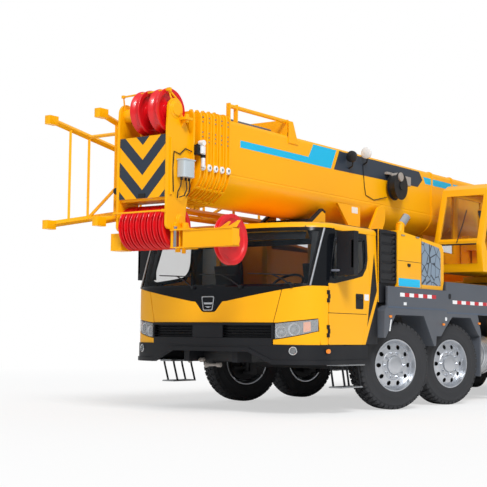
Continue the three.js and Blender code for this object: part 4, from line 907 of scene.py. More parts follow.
headSizes = {
    "front": -3.640,
    "rear": -3.190,
    "half": 0.400,
    "plate": 0.036,
    "top": 3.780,
    "bottom": 2.215,
    "faceLow": 2.592,
    "faceHigh": 3.340,
    "chevronPeriod": 0.362,
    "chevronWidth": 0.181,
    "chevronStart": 2.150,
    "upperAxle": (-3.500, 3.640),
    "lowerAxle": (-3.385, 2.260),
    "armFront": -3.550,
    "armRear": -3.430,
    "armLow": 1.990,
    "armHigh": 2.200,
    "armEnd": 1.300,
    "sideSheave": (1.000, -3.190, 2.095),
}


def cheekOutline(h):
    uy, uz = h["upperAxle"]
    front, rear, bottom = h["front"], h["rear"], h["bottom"]
    outline = [(front, bottom + 0.07)] + arc(front + 0.06, bottom + 0.06, 0.06, 190, 260, 4)
    outline += [(rear - 0.12, bottom), (rear - 0.085, 2.50), (rear, 2.98), (rear, 3.34)]
    outline += arc(uy, h["top"] - 0.128, 0.128, -20, 172, 16)
    outline += [(front, 3.42)]
    return outline


def headParts(h):
    half, plate, front, rear = h["half"], h["plate"], h["front"], h["rear"]
    uy, uz = h["upperAxle"]
    ly, lz = h["lowerAxle"]
    parts = bothSides([prism("x", cheekOutline(h), half - plate, half)])
    bossHeight = h["top"] - 0.130
    parts += bothSides([lathe("x", [(0, half - 0.005), (0.108, half - 0.005), (0.108, half + 0.006),
                                    (0.080, half + 0.012), (0.080, half + 0.024), (0, half + 0.024)],
                              32, (0, uy, bossHeight)),
                        lathe("x", [(0, half - 0.005), (0.085, half - 0.005), (0.085, half + 0.010),
                                    (0.060, half + 0.016), (0.060, half + 0.026), (0, half + 0.026)],
                              32, (0, ly, lz + 0.07)),
                        box(half - 0.002, half + 0.012, front + 0.10, rear - 0.14, h["armHigh"], h["armHigh"] + 0.08)])
    parts.append(box(-half + 0.012, half - 0.012, front + 0.015, front + 0.045, h["faceLow"], h["faceHigh"]))
    parts.append(box(-half + 0.01, half - 0.01, front + 0.03, rear, 2.88, 2.93))
    parts.append(box(-half + 0.01, half - 0.01, front + 0.04, rear - 0.1, 2.565, 2.592))
    parts.append(drum("x", 0.055, -half + 0.01, half - 0.01, (0, uy, uz), 24))
    parts.append(drum("x", 0.085, -half + 0.02, -0.10, (0, uy, uz), 32))
    parts.append(drum("x", 0.055, -half + 0.01, half - 0.01, (0, ly, lz), 24))
    # lug with its pin on the left cheek, and gusset plates behind the cheeks
    parts += [box(half - 0.002, half + 0.11, -3.44, -3.31, 3.53, 3.56),
              prism("y", [(half - 0.002, 3.44), (half + 0.07, 3.53), (half - 0.002, 3.53)], -3.40, -3.38),
              drum("z", 0.028, 3.50, 3.60, (half + 0.065, -3.375, 0), 16),
              box(half - 0.002, half + 0.020, -3.60, -3.57, 2.62, 3.30)]
    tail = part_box("boom_head")[1].y - stationShift
    grow = -5 * boomSizes["sectionStep"]
    parts.append(boomShell(boomSizes, grow, rear - 0.005, tail - 0.002, boomSizes["wall"]))
    parts.append(boomShell(boomSizes, boomSizes["collarRise"] - 0.045, rear - 0.030, rear, 0.08))
    parts.append(boomShell(boomSizes, -0.045, rear - 0.002, rear + 0.060, 0.05))
    parts.append(loft([boomRing(boomSizes, grow - 0.012, rear + 0.01, False),
                       boomRing(boomSizes, grow - 0.012, rear + 0.035, False)]))
    return parts


def auxArmParts(h):
    # short side arm on the left with its fork for the small sheave
    parts = []
    half, y0, y1, low, top, end = h["half"], h["armFront"], h["armRear"], h["armLow"], h["armHigh"], h["armEnd"]
    ax, ay, az = h["sideSheave"]
    parts += [box(0.58, end - 0.008, y0, y1, low + 0.006, top - 0.006),
              box(0.57, end, y0 - 0.012, y1 + 0.012, top - 0.012, top),
              box(half - 0.01, end, y0 - 0.012, y1 + 0.012, low - 0.001, low + 0.011)]
    parts.append(prism("z", [(half - 0.01, y0 - 0.02), (0.70, y0 - 0.02), (0.70, y1), (0.60, y1 + 0.16),
                             (half - 0.01, y1 + 0.20)], top - 0.006, top + 0.012))
    parts += [box(half - 0.01, half + 0.03, y0, y0 + 0.015, low, top), box(0.57, 0.585, y0, y1 + 0.14, low, top),
              box(0.49, 0.505, y0 + 0.03, y1 + 0.16, low, top),
              prism("z", [(half - 0.01, y0), (0.60, y0), (0.60, y1 + 0.14), (half - 0.01, y1 + 0.18)], low,
                    low + 0.014)]
    parts += [prism("x", [(y0, top), (y0 + 0.34, top), (y0 + 0.30, top + 0.10), (y0 + 0.06, top + 0.10)],
                    half - 0.002, half + 0.020),
              box(half, half + 0.15, y0 + 0.06, y0 + 0.28, top + 0.010, top + 0.035),
              drum("z", 0.042, top + 0.02, top + 0.098, (half + 0.075, y0 + 0.16, 0), 20),
              drum("z", 0.032, low - 0.045, low, (0.455, y0 + 0.06, 0), 16),
              drum("z", 0.024, low - 0.060, low, (0.52, y0 + 0.09, 0), 16)]
    for x in (ax - 0.090, ax + 0.060):
        fork = [(y0 + 0.10, az - 0.075), (ay, az - 0.068)] + arc(ay, az, 0.068, -90, 70, 8) + [(y0 + 0.10, az + 0.078)]
        parts.append(prism("x", fork, x + 0.001, x + 0.029))
    parts += [prism("x", [(y0, top), (y0 + 0.15, top), (y0 + 0.24, top + 0.096), (y0 + 0.21, top + 0.098)],
                    end - 0.09, end - 0.065),
              prism("x", [(y0, top), (y0 + 0.12, top), (y0 + 0.20, top + 0.085), (y0 + 0.17, top + 0.088)],
                    end - 0.19, end - 0.175),
              box(end - 0.012, end, y0 - 0.004, y1 + 0.004, low, top),
              drum("x", 0.050, ax - 0.089, ax + 0.089, (0, ay, az), 20)]
    # short stub on the right
    parts += [box(-0.558, -half + 0.01, y0, y0 + 0.19, low + 0.006, top - 0.006),
              box(-half, -half + 0.03, y0, y0 + 0.20, top - 0.02, top + 0.118),
              box(-0.560, -half + 0.01, y0, y0 + 0.20, top - 0.012, top),
              box(-0.560, -half + 0.01, y0, y0 + 0.20, low, low + 0.012)]
    return parts


def guardParts(h):
    # light rod frames that keep the ropes on the sheaves
    front, half, rod = h["front"], h["half"], 0.013
    parts = [tube([(-0.36, front + 0.10, 3.60), (-0.35, front + 0.045, 3.86), (0.36, front + 0.045, 3.875),
                   (0.385, front + 0.13, 3.66)], rod, 8),
             tube([(0.36, front + 0.045, 3.875), (0.385, front + 0.20, 3.76)], rod, 8),
             tube([(-half + 0.02, front - 0.045, 2.425), (half - 0.01, front - 0.045, 2.425)], 0.011, 8),
             box(-0.375, -0.335, front + 0.030, front + 0.060, 3.845, 3.880),
             box(0.34, 0.39, front + 0.030, front + 0.070, 3.855, 3.895)]
    parts += bothSides([box(half - 0.035, half - 0.004, front - 0.060, front + 0.03, 2.408, 2.440)])
    return parts


def bandBetween(low, high, slope, halfWidth, bottom, top):
    # the part of a slanted stripe that falls inside a plate, from its middle to its edge
    outline = [(0.0, low), (halfWidth, low + slope * halfWidth), (halfWidth, high + slope * halfWidth), (0.0, high)]
    for limit, keep in ((bottom, 1), (top, -1)):
        kept = []
        for (x0, z0), (x1, z1) in zip(outline, outline[1:] + outline[:1]):
            in0, in1 = keep * (z0 - limit) >= 0, keep * (z1 - limit) >= 0
            if in0:
                kept.append((x0, z0))
            if in0 != in1:
                t = (limit - z0) / (z1 - z0)
                kept.append((x0 + (x1 - x0) * t, limit))
        outline = kept
        if not outline:
            break
    return outline


def chevronParts(h):
    parts = []
    y = h["front"] + 0.015
    for k in range(5):
        low = h["chevronStart"] + k * h["chevronPeriod"]
        outline = bandBetween(low, low + h["chevronWidth"], 1.0, h["half"] - 0.016,
                              h["faceLow"] + 0.003, h["faceHigh"] - 0.002)
        if len(outline) > 2:
            parts += bothSides([prism("y", outline, y - 0.0015, y + 0.001)])
    return parts


makePiece("boom_head_frame", headParts(headSizes), yellow, "boom_head", ["boom_head"], bevel=0.004)
makePiece("auxiliary_arm", auxArmParts(headSizes), yellow, "boom_head", bevel=0.003)
makePiece("rope_guards", guardParts(headSizes), yellow, "boom_head", bevel=0.002)
makePiece("warning_chevrons", chevronParts(headSizes), slateVinyl, "boom_head", bevel=0)
makePiece("head_lamp_block", [box(-0.05, 0.05, -3.640, -3.62, 2.595, 2.650),
                              lathe("x", [(0, -0.46), (0.038, -0.455), (0.042, -0.43), (0.026, -0.40), (0, -0.398)],
                                    20, (0, -3.60, 2.71))], rubber, "boom_head", bevel=0.003)
makePiece("arm_root_pin", [drum("z", 0.026, 1.985, 2.245, (0.45, -3.535, 0), 16)], chrome, "boom_head",
          bevel=0.002)
boxX = headSizes["half"]  # outer face of the left cheek, which the box and its cables stand on
makePiece("head_control_box", [roundedBox(boxX + 0.001, boxX + 0.12, -3.47, -3.27, 2.84, 3.05, 0.02),
                               box(boxX, boxX + 0.126, -3.476, -3.264, 3.042, 3.058)], paleGrey, "boom_head",
          bevel=0.004)
# each cable's points: how far out from the cheek, then station and height
headCables = [[(0.06, -3.45, 2.84), (0.06, -3.46, 2.74), (0.04, -3.49, 2.66), (0.02, -3.47, 2.59)],
              [(0.06, -3.37, 2.84), (0.08, -3.37, 2.70), (0.07, -3.41, 2.62), (0.03, -3.45, 2.60)],
              [(0.06, -3.31, 2.84), (0.07, -3.30, 2.74), (0.05, -3.29, 2.67), (0.01, -3.30, 2.62)],
              [(0.005, -3.53, 2.66), (0.008, -3.55, 2.94), (0.008, -3.53, 3.14), (0.008, -3.42, 3.12),
               (0.008, -3.32, 3.20), (0.03, -3.20, 3.17)]]
cableParts = [tube([(boxX + x, y, z) for x, y, z in path], 0.007, 8) for path in headCables]
cableParts += [drum("z", 0.015, 2.805, 2.845, (boxX + 0.06, y, 0), 12) for y in (-3.45, -3.37, -3.31)]
makePiece("head_cables", cableParts, rubber, "boom_head", bevel=0)
makePiece("head_sensors", [roundedBox(0.452, 0.52, -3.14, -3.06, 3.16, 3.25, 0.02),
                           drum("z", 0.026, 3.00, 3.16, (0.49, -3.08, 0), 16),
                           drum("x", 0.036, 0.45, 0.52, (0, -3.10, 3.29), 20)], white, "boom_head",
          bevel=0.003)
makePiece("head_sensor_mounts", [box(0.40, 0.50, -3.205, -3.15, 3.14, 3.26), box(0.44, 0.456, -3.16, -3.04, 3.14, 3.28),
                                 drum("z", 0.030, 3.11, 3.15, (0.49, -3.08, 0), 16)],
          plastic, "boom_head", bevel=0.003)
print("boom head made")


# ---- sheaves ----

sheaveSizes = {"radius": 0.270, "sides": 72, "hub": 0.105, "rimBand": 0.052, "groove": 0.036}


def sheavePart(s, x, width, pin):
    h = width / 2
    band = s["radius"] - s["rimBand"]
    profile = [(pin, x - h), (s["hub"], x - h), (s["hub"] + 0.008, x - h * 0.45), (band - 0.02, x - h * 0.40),
               (band, x - h * 0.96), (s["radius"] - 0.006, x - h), (s["radius"], x - h * 0.86),
               (s["radius"] - 0.004, x - h * 0.70), (s["radius"] - s["groove"], x - h * 0.22),
               (s["radius"] - s["groove"], x + h * 0.22), (s["radius"] - 0.004, x + h * 0.70),
               (s["radius"], x + h * 0.86), (s["radius"] - 0.006, x + h), (band, x + h * 0.96),
               (band - 0.02, x + h * 0.40), (s["hub"] + 0.008, x + h * 0.45), (s["hub"], x + h), (pin, x + h)]
    return lathe("x", profile, s["sides"], ring=True)


def stackOf(node, centres, width, pin, body, radius=sheaveSizes["radius"]):
    sizes = {**sheaveSizes, "radius": radius}
    low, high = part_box(node)
    y, z = (low.y + high.y) / 2 - stationShift, (low.z + high.z) / 2
    parts = [moved(sheavePart(sizes, x, width, pin + 0.002), 0, y, z) for x in centres]
    sleeves = [lathe("x", [(pin + 0.001, a), (0.085, a), (0.085, b), (pin + 0.001, b)], 32, (0, y, z), ring=True)
               for a, b in zip([c + width / 2 for c in centres], [c - width / 2 for c in centres[1:]])]
    makePiece(f"{node}_enamelled", parts, red, body, [node], bevel=0.0015, angle=25)
    if sleeves:
        makePiece(f"{node}_spacers", sleeves, zinc, body, bevel=0)


stackOf("upper_sheaves", [-0.025, 0.253], 0.140, 0.055, "upper_sheaves")
pitch = 0.090
stackOf("lower_sheaves", [-0.360 + (i + 0.5) * pitch for i in range(8)], pitch * 0.7, 0.055, "lower_sheaves")
stackOf("auxiliary_sheave", [1.000], 0.070, 0.040, "auxiliary_sheave", 0.300)
print("sheaves made")


# ---- driver's cab: smooth skins over the shell, round glass, black trim ----

cabSizes = {
    "front": -2.30,
    "rear": -0.575,
    "half": 1.48,
    "curve": ((0.0, 0.0), (0.60, 0.018), (0.98, 0.075), (1.245, 0.170), (1.40, 0.305), (1.48, 0.50)),
    "belt": 1.59,
    "eaves": 2.355,
    "lean": 0.215,
    "tuck": 0.040,
    "seamTop": 1.06,
    "seamFoot": 0.955,
    "sideStart": 0.50,
}


def cabCurve(c):
    # half plan of the nose as close points: centreline first, back along the side last
    given = [(-c["curve"][1][0], c["curve"][1][1])] + list(c["curve"]) + [(c["half"], 0.80)]
    line = []
    for k in range(1, len(given) - 2):
        a, b, d, e = given[k - 1:k + 3]
        for i in range(12):
            t = i / 12
            line.append(tuple(0.5 * (2 * b[n] + (d[n] - a[n]) * t + (2 * a[n] - 5 * b[n] + 4 * d[n] - e[n]) * t * t
                                     + (3 * b[n] - a[n] - 3 * d[n] + e[n]) * t ** 3) for n in (0, 1)))
    line += [(c["half"], c["sideStart"] + 0.05 * i) for i in range(25)]
    lengths = [0.0]
    for p, q in zip(line, line[1:]):
        lengths.append(lengths[-1] + math.dist(p, q))
    return line, lengths


noseLine, noseLengths = cabCurve(cabSizes)


def noseAt(s):
    # place and outward direction at the distance s round the nose, plus to the left
    side, s = (1 if s >= 0 else -1), min(abs(s), noseLengths[-1] - 1e-6)
    k = max(i for i, length in enumerate(noseLengths) if length <= s)
    k = min(k, len(noseLine) - 2)
    t = (s - noseLengths[k]) / (noseLengths[k + 1] - noseLengths[k])
    (x0, y0), (x1, y1) = noseLine[k], noseLine[k + 1]
    length = math.hypot(x1 - x0, y1 - y0)
    return side * (x0 + (x1 - x0) * t), y0 + (y1 - y0) * t, side * (y1 - y0) / length, -(x1 - x0) / length


def noseReach(x):
    # distance round the nose at which it is x wide of the centreline
    for (x0, _), (x1, _), s0, s1 in zip(noseLine, noseLine[1:], noseLengths, noseLengths[1:]):
        if x0 <= abs(x) <= x1 and x1 > x0:
            return math.copysign(s0 + (s1 - s0) * (abs(x) - x0) / (x1 - x0), x)
    return math.copysign(noseLengths[-1], x)


def cabPoint(s, z, out=0.0):
    c = cabSizes
    x, y, nx, ny = noseAt(s)
    share = min(max((z - c["belt"]) / (c["eaves"] - c["belt"]), 0.0), 1.0)
    ratio = 1 - c["tuck"] / c["half"] * share
    return (x * ratio + nx * out, c["front"] + y + c["lean"] * share + ny * out, z)


def sidePoint(y, z, out=0.0):
    c = cabSizes
    share = min(max((z - c["belt"]) / (c["eaves"] - c["belt"]), 0.0), 1.0)
    return (c["half"] - c["tuck"] * share + out, y, z)


def skin(stations, low, high, rows, out, thickness):
    # a panel over the curve between two edges, each a height or a function of the station
    count = len(stations) - 1

    def at(u, v, extra):
        s = stations[round(u * count)]
        z0, z1 = (edge(s) if callable(edge) else edge for edge in (low, high))
        return cabPoint(s, z0 + (z1 - z0) * v, out + extra)
    return patch(at, count, rows, thickness)


def between(start, end, count):
    return [start + (end - start) * i / count for i in range(count + 1)]


def rounded(outline, radius, steps=3):
    # the same outline with each corner turned into a short curve
    result = []
    for k, here in enumerate(outline):
        before, after = Vector(outline[k - 1]), Vector(outline[(k + 1) % len(outline)])
        here = Vector(here)
        reach = min(radius, (before - here).length * 0.45, (after - here).length * 0.45)
        one, two = here + (before - here).normalized() * reach, here + (after - here).normalized() * reach
        for i in range(steps + 1):
            t = i / steps
            result.append(tuple(one * (1 - t) ** 2 + here * 2 * t * (1 - t) + two * t * t))
    return result


def surround(outer, inner, point, out, thickness):
    # a frame between two outlines with as many corners each
    rings = [[point(a, b, out) for a, b in outer], [point(a, b, out) for a, b in inner],
             [point(a, b, out - thickness) for a, b in inner], [point(a, b, out - thickness) for a, b in outer]]
    return loft(rings, closed=True)


def plate(outline, point, out, thickness):
    return loft([[point(a, b, out) for a, b in outline], [point(a, b, out - thickness) for a, b in outline]])


def veeHeight(s):
    # lower edge of the black surround: a dip round the emblem, then a slow rise
    x = abs(noseAt(s)[0])
    if x < 0.115:
        return 1.275
    if x < 0.24:
        return 1.275 + (x - 0.115) * 1.04
    return min(1.405 + 0.185 * (x - 0.24) / 1.06, 1.60)


seamTop, seamFoot = noseReach(cabSizes["seamTop"]), noseReach(cabSizes["seamFoot"])
sideReach = noseLengths[next(i for i, p in enumerate(noseLine) if p[1] >= cabSizes["sideStart"] - 0.001)]
doorReach = sideReach - 0.012
lampInner, lampOuter = noseReach(0.955), noseReach(1.425)


def lampTop(s):
    return 1.128 + 0.062 * min(max((abs(s) - lampInner) / (lampOuter - lampInner), 0), 1)


def lampLow(s):
    return 0.940 + 0.105 * min(max((abs(s) - lampInner) / (lampOuter - lampInner), 0), 1) ** 1.3


def noseParts():
    inner = sorted(set(between(-1.0, 1.0, 44) + [-0.19, -0.12, 0.12, 0.19]))

    def centreAt(u, v, extra):
        share = inner[round(u * (len(inner) - 1))]
        guess = share * seamFoot
        top = veeHeight(share * seamTop)
        s = share * (seamFoot + (seamTop - seamFoot) * v) - math.copysign(0.004, share) * (abs(share) > 0.99)
        return cabPoint(s if abs(guess) > 0.25 else guess, 1.142 + (top - 1.142) * v, 0.010 + extra)
    centre = patch(centreAt, len(inner) - 1, 8, 0.03)
    corners, bands = [], []
    for side in (1, -1):
        shares = between(0.0, 1.0, 24)

        def cornerAt(u, v, extra, side=side, shares=shares):
            share = shares[round(u * 24)]
            foot = seamFoot + 0.004 + (doorReach - seamFoot - 0.004) * share
            head = seamTop + 0.004 + (doorReach - seamTop - 0.004) * share
            low = max(lampTop(foot) + 0.008, 1.142) if foot < lampOuter + 0.02 else 0.875
            s = side * (foot + (head - foot) * v)
            return cabPoint(s, low + (min(veeHeight(head), 1.60) - low) * v, 0.010 + extra)
        corners.append(patch(cornerAt, 24, 10, 0.03))
        stations = between(side * lampInner, side * (lampOuter + 0.03), 20)
        bands.append(skin(stations, 0.872, lambda s: lampLow(s) - 0.006, 3, 0.010, 0.03))
    return [centre] + corners + bands


def pillarPoint(u, v, out, front=1.338):
    # from the glass edge round the corner to the door, u from 0 to 1
    z = 1.60 + 0.74 * v
    s0 = noseReach(front + 0.050 * v)
    return cabPoint(s0 + (sideReach - s0) * u, z, out)


def roofRing(z, setback, inset, grow=0.006):
    c = cabSizes
    half = [(x, y) for x, y in noseLine[::3] if y < 1.66]
    ratio = (c["half"] + grow - inset) / c["half"]
    left = [(x * ratio, c["front"] + y + setback - grow * (1 if x < 1.2 else 0)) for x, y in half]
    left.append((left[-1][0], c["rear"] + 0.004))
    right = [(-x, y) for x, y in left[1:]][::-1]
    return [(x, y, z) for x, y in right + left]


def roofParts():
    rings = [roofRing(2.318, 0.214, 0.040, -0.004), roofRing(2.320, 0.214, 0.038), roofRing(2.352, 0.218, 0.040),
             roofRing(2.376, 0.232, 0.050), roofRing(2.398, 0.262, 0.074), roofRing(2.412, 0.302, 0.112),
             roofRing(2.421, 0.37, 0.19)]
    rib = [prism("y", [(x - 0.03, 2.415), (x + 0.03, 2.415), (x + 0.02, 2.427), (x - 0.02, 2.427)], -1.75, -0.75)
           for x in (-0.9, -0.6, 0.6, 0.9)]
    return [loft(rings)] + rib


makePiece("cab_nose_panels", noseParts(), yellow, "carrier", bevel=0.004, angle=40)
makePiece("cab_roof_skin", roofParts(), yellow, "carrier", bevel=0, angle=30)
rearPanel = [
    plate([(-0.784, 2.318), (-0.784, 1.55), (-0.975, 0.878), (-0.895, 0.878), (-0.571, 1.50), (-0.571, 2.318)],
          sidePoint, 0.006, 0.02),
]
backWall = surround([(-1.42, 0.93), (1.42, 0.93), (1.42, 2.31), (-1.42, 2.31)],
                    [(-0.78, 1.70), (0.78, 1.70), (0.78, 2.25), (-0.78, 2.25)],
                    lambda a, b, out: (a, cabSizes["rear"] + out, b), 0.012, 0.012)
backRibs = [box(x - 0.04, x + 0.04, -0.575, -0.553, 0.95, 1.66) for x in (-1.1, -0.55, 0.0, 0.55, 1.1)]
makePiece("cab_rear_panels", bothSides(rearPanel) + [backWall] + backRibs, yellow, "carrier")
rearGlass = plate(rounded([(-0.79, 1.69), (0.79, 1.69), (0.79, 2.26), (-0.79, 2.26)], 0.05),
                  lambda a, b, out: (a, cabSizes["rear"] + out, b), 0.004, 0.006)
makePiece("cab_rear_window", [rearGlass], glass, "carrier", bevel=0)


# windscreen, its gloss-black surround and the pillars
def screenPoint(u, v, out):
    z = 1.60 + 0.735 * v
    half = noseReach(1.345 + 0.050 * v)
    return cabPoint(-half + 2 * half * u, z, out)


makePiece("windscreen_glass", [patch(lambda u, v, o: screenPoint(u, v, -0.002 + o), 56, 10, 0.007)], glass,
          "carrier", replaces=["cab_windscreen"], bevel=0, angle=60)
mask = skin(sorted(set(between(-doorReach, doorReach, 64) + [-0.24, -0.115, 0.115, 0.24])),
            lambda s: veeHeight(s) - 0.012, 1.622, 6, 0.003, 0.012)
lintel = patch(lambda u, v, o: screenPoint(u, 0.945 + 0.062 * v, 0.003 + o), 56, 2, 0.010)
pillars = bothSides([patch(lambda u, v, o: pillarPoint(u, v, 0.004 + o), 12, 12, 0.012)])
makePiece("windscreen_surround", [mask, lintel] + pillars, pianoBlack, "carrier", bevel=0.002,
          angle=50)
# bright strip down each windscreen pillar, curving forward at its foot
stripPath = [cabPoint(noseReach(1.362 + 0.058 * v), 1.60 + 0.73 * v, 0.012) for v in between(1.0, 0.0, 14)]
makePiece("pillar_strips", bothSides([tube(stripPath, 0.013, 8)]), alloy, "carrier", bevel=0)
print("cab skins made")

# blank emblem plate in the dip of the surround
emblemEdge = [(-0.075, 1.292), (0.075, 1.292), (0.105, 1.475), (-0.105, 1.475)]
emblemInner = [(a * 0.84, 1.385 + (b - 1.385) * 0.86) for a, b in emblemEdge]
emblemRing = surround(rounded(emblemEdge, 0.02), rounded(emblemInner, 0.02), cabPoint, 0.026, 0.022)
makePiece("emblem_frame", [emblemRing], chrome, "carrier", bevel=0.003)
emblemPlate = plate(rounded([(a * 0.9, b) for a, b in emblemEdge], 0.02), cabPoint, 0.016, 0.012)
makePiece("blank_emblem_plate", [emblemPlate], pianoBlack, "carrier", bevel=0.003)
emblemWedge = plate([(-0.055, 1.345), (0.055, 1.345), (0.0, 1.325)], cabPoint, 0.0165, 0.004)
emblemBar = plate([(-0.075, 1.395), (0.075, 1.395), (0.060, 1.372), (-0.060, 1.372)], cabPoint, 0.0175, 0.004)
makePiece("emblem_bars", [emblemWedge, emblemBar], alloy, "carrier", bevel=0.001)


# ---- bumper, grille and lamps ----

bumperSizes = {"low": 0.872, "bottom": 0.630, "notch": 0.780, "notchHalf": 0.62, "notchEnd": 0.95}


def bumperFloor(s):
    # the lower edge rises over the towing eye in the middle
    b, x = bumperSizes, abs(noseAt(s)[0])
    share = min(max((x - b["notchHalf"]) / (b["notchEnd"] - b["notchHalf"]), 0), 1)
    return b["notch"] - (b["notch"] - b["bottom"]) * share


def bumperParts():
    reach = noseLengths[-1] - 0.26
    bends = [noseReach(side * bumperSizes[name]) for side in (-1, 1) for name in ("notchHalf", "notchEnd")]
    cuts = sorted(set(between(-reach, reach, 70) + bends))
    lower = skin(cuts, bumperFloor, bumperSizes["low"], 4, 0.020, 0.055)
    lip = skin(cuts, bumperFloor, lambda s: bumperFloor(s) + 0.055, 2, 0.034, 0.060)
    grilleEdge = noseReach(0.945)
    upper = skin(between(-grilleEdge, grilleEdge, 40), bumperSizes["low"] - 0.01, 0.952, 2,
                 0.024, 0.05)
    back = skin(between(-grilleEdge, grilleEdge, 40), 0.95, 1.136, 2, -0.030, 0.02)
    top = skin(between(-grilleEdge - 0.02, grilleEdge + 0.02, 40), 1.112, 1.138, 1, 0.024, 0.05)
    ends = [skin(between(side * (grilleEdge - 0.008), side * (grilleEdge + 0.022), 2), 0.945,
                 1.138, 2, 0.024, 0.05) for side in (1, -1)]
    louvres = []
    for z in (0.982, 1.016, 1.050, 1.084):
        for start, end in ((-grilleEdge, -0.245), (0.245, grilleEdge)):
            louvres.append(patch(lambda u, v, o, start=start, end=end, z=z: cabPoint(
                start + (end - start) * u, z - 0.004 + 0.012 * v, 0.018 - 0.042 * v + o * 0.4), 20, 1, 0.02))
    centre = [skin(between(-0.24, 0.24, 8), 0.955, 1.110, 2, 0.026, 0.03)]
    return [lower, lip, upper, back, top] + ends + louvres + centre


makePiece("bumper_skin", bumperParts(), plastic, "carrier", bevel=0.003)


def facingOut(s, z, out):
    # stands a part that points up its own z axis on the nose, facing outward
    x, y, _ = cabPoint(s, z, out)
    nx, ny = noseAt(s)[2:]
    return Matrix.Translation((x, y, z)) @ Vector((nx, ny, 0)).to_track_quat("Z", "Y").to_matrix().to_4x4()


lamps, cases, bulbs, blinkers = [], [], [], []
for side in (1, -1):
    stations = between(side * (lampInner + 0.028), side * lampOuter, 18)
    cases.append(skin(between(side * (lampInner + 0.026), side * (lampOuter + 0.006), 18),
                      lambda s: lampLow(s), lampTop, 4, -0.045, 0.010))
    lamps.append(skin(stations, lambda s: lampLow(s) + 0.004, lambda s: lampTop(s) - 0.002, 5, 0.014, 0.005))
    for x, z, radius in ((1.055, 1.028, 0.062), (1.205, 1.060, 0.066)):
        turn = facingOut(side * noseReach(x), z, -0.034)
        bowl = lathe("z", [(0.012, 0.0), (radius, 0.030), (radius + 0.008, 0.040), (radius + 0.012, 0.034),
                           (radius + 0.006, 0.024), (0.014, -0.012)], 28, ring=True)
        bulb = lathe("z", [(0, 0.002), (radius * 0.62, 0.004), (radius * 0.55, 0.020), (radius * 0.30, 0.032),
                           (0, 0.036)], 24)
        bulbs.append((turned(bowl, turn), turned(bulb, turn)))
    blinkers.append(skin(between(side * noseReach(1.305), side * noseReach(1.395), 6),
                         lambda s: lampLow(s) + 0.022, lambda s: lampTop(s) - 0.022, 3, -0.008, 0.02))
makePiece("headlamp_cases", cases, plastic, "carrier")
makePiece("headlamp_bowls", [b for b, _ in bulbs], alloy, "carrier", bevel=0)
makePiece("headlamp_projectors", [p for _, p in bulbs], lens, "carrier", bevel=0)
makePiece("headlamp_blinkers", blinkers, amber, "carrier", bevel=0)
makePiece("headlamp_lenses", lamps, lens, "carrier", bevel=0, angle=60)
fogs, fogRings = [], []
for side in (1, -1):
    turn = facingOut(side * noseReach(1.20), 0.80, 0.018)
    fogs.append(turned(lathe("z", [(0, 0.0), (0.040, 0.0), (0.040, 0.010), (0.026, 0.017), (0, 0.020)], 28), turn))
    fogRings.append(turned(lathe("z", [(0.040, 0.0), (0.052, 0.0), (0.052, 0.016), (0.046, 0.020), (0.040, 0.016)],
                                 28, ring=True), turn))
makePiece("fog_lamp_lenses", fogs, lens, "carrier", bevel=0)
makePiece("fog_lamp_rings", fogRings, chrome, "carrier", bevel=0)
marker = lathe("x", [(0, 0.0), (0.030, 0.0), (0.028, 0.010), (0.018, 0.018), (0, 0.021)], 24, (1.500, -1.83, 0.796))
marker = ([(x, -1.83 + (y + 1.83) * 1.7, z) for x, y, z in marker[0]], marker[1])
makePiece("side_marker_lamps", bothSides([marker]), amber, "carrier", bevel=0)
horn = lathe("x", [(0, 0.0), (0.045, 0.0), (0.022, 0.05), (0.018, 0.17), (0.03, 0.18), (0.03, 0.24), (0, 0.25)], 20)
makePiece("horns", [moved(horn, -0.50, -2.05, 0.66), moved(horn, -0.24, -2.03, 0.60)], warmGrey, "carrier",
          bevel=0)
brackets = [box(0.342, 0.428, -2.255, -1.952, 0.642, 0.868)]
stepLegs = [tube([(x, y, 0.635), (x, y + 0.02, 0.56), (x - 0.008, y + 0.09, 0.345)], 0.014, 10)
            for x in (1.455, 1.285) for y in (-1.435, -1.05)]
makePiece("step_frames", bothSides(brackets + stepLegs), plastic, "carrier",
          replaces=["front_bumper"], bevel=0)
treads = [box(1.275, 1.468, y, y + 0.022, z, z + 0.010)
          for z, low, high in ((0.340, -1.44, -0.94), (0.630, -1.49, -0.89)) for y in between(low, high - 0.03, 12)]
trays = [box(1.272, 1.469, -1.449, -0.936, 0.331, 0.343), box(1.272, 1.469, -1.499, -0.881, 0.612, 0.632)]
makePiece("step_treads", bothSides(treads + trays), zinc, "carrier", bevel=0.001)
print("bumper and lamps made")


# ---- wipers: three arms parked towards the vehicle's right ----

def wiperParts():
    arms, blades = [], []
    for x, z0, reachOut, top in ((1.18, 1.625, -0.26, 0.115), (0.50, 1.620, -0.34, 0.125),
                                 (-0.25, 1.620, -0.32, 0.125)):
        foot = cabPoint(noseReach(x), z0 - 0.03, 0.030)
        tip = cabPoint(noseReach(x + reachOut), z0 + top, 0.024)
        middle = cabPoint(noseReach(x + reachOut * 0.5), z0 + top * 0.5, 0.034)
        arms.append(drum("y", 0.022, foot[1] - 0.010, foot[1] + 0.04, (foot[0], 0, foot[2]), 16))
        arms.append(tube([foot, middle, tip], 0.009, 8))
        blade = [cabPoint(noseReach(x + reachOut + d), z0 + top - 0.05 * d, 0.012)
                 for d in between(-0.34, 0.24, 10)]
        blades.append(tube(blade, 0.008, 6))
        blades.append(tube([(p[0], p[1] - 0.010, p[2]) for p in blade[2:-2]], 0.006, 6))
    return arms, blades


wiperArms, wiperBlades = wiperParts()
makePiece("wiper_arms", wiperArms, plastic, "carrier", bevel=0)
makePiece("wiper_blades", wiperBlades, rubber, "carrier", bevel=0)


# ---- doors: skin, black window frame, pane, handle and mirrors ----

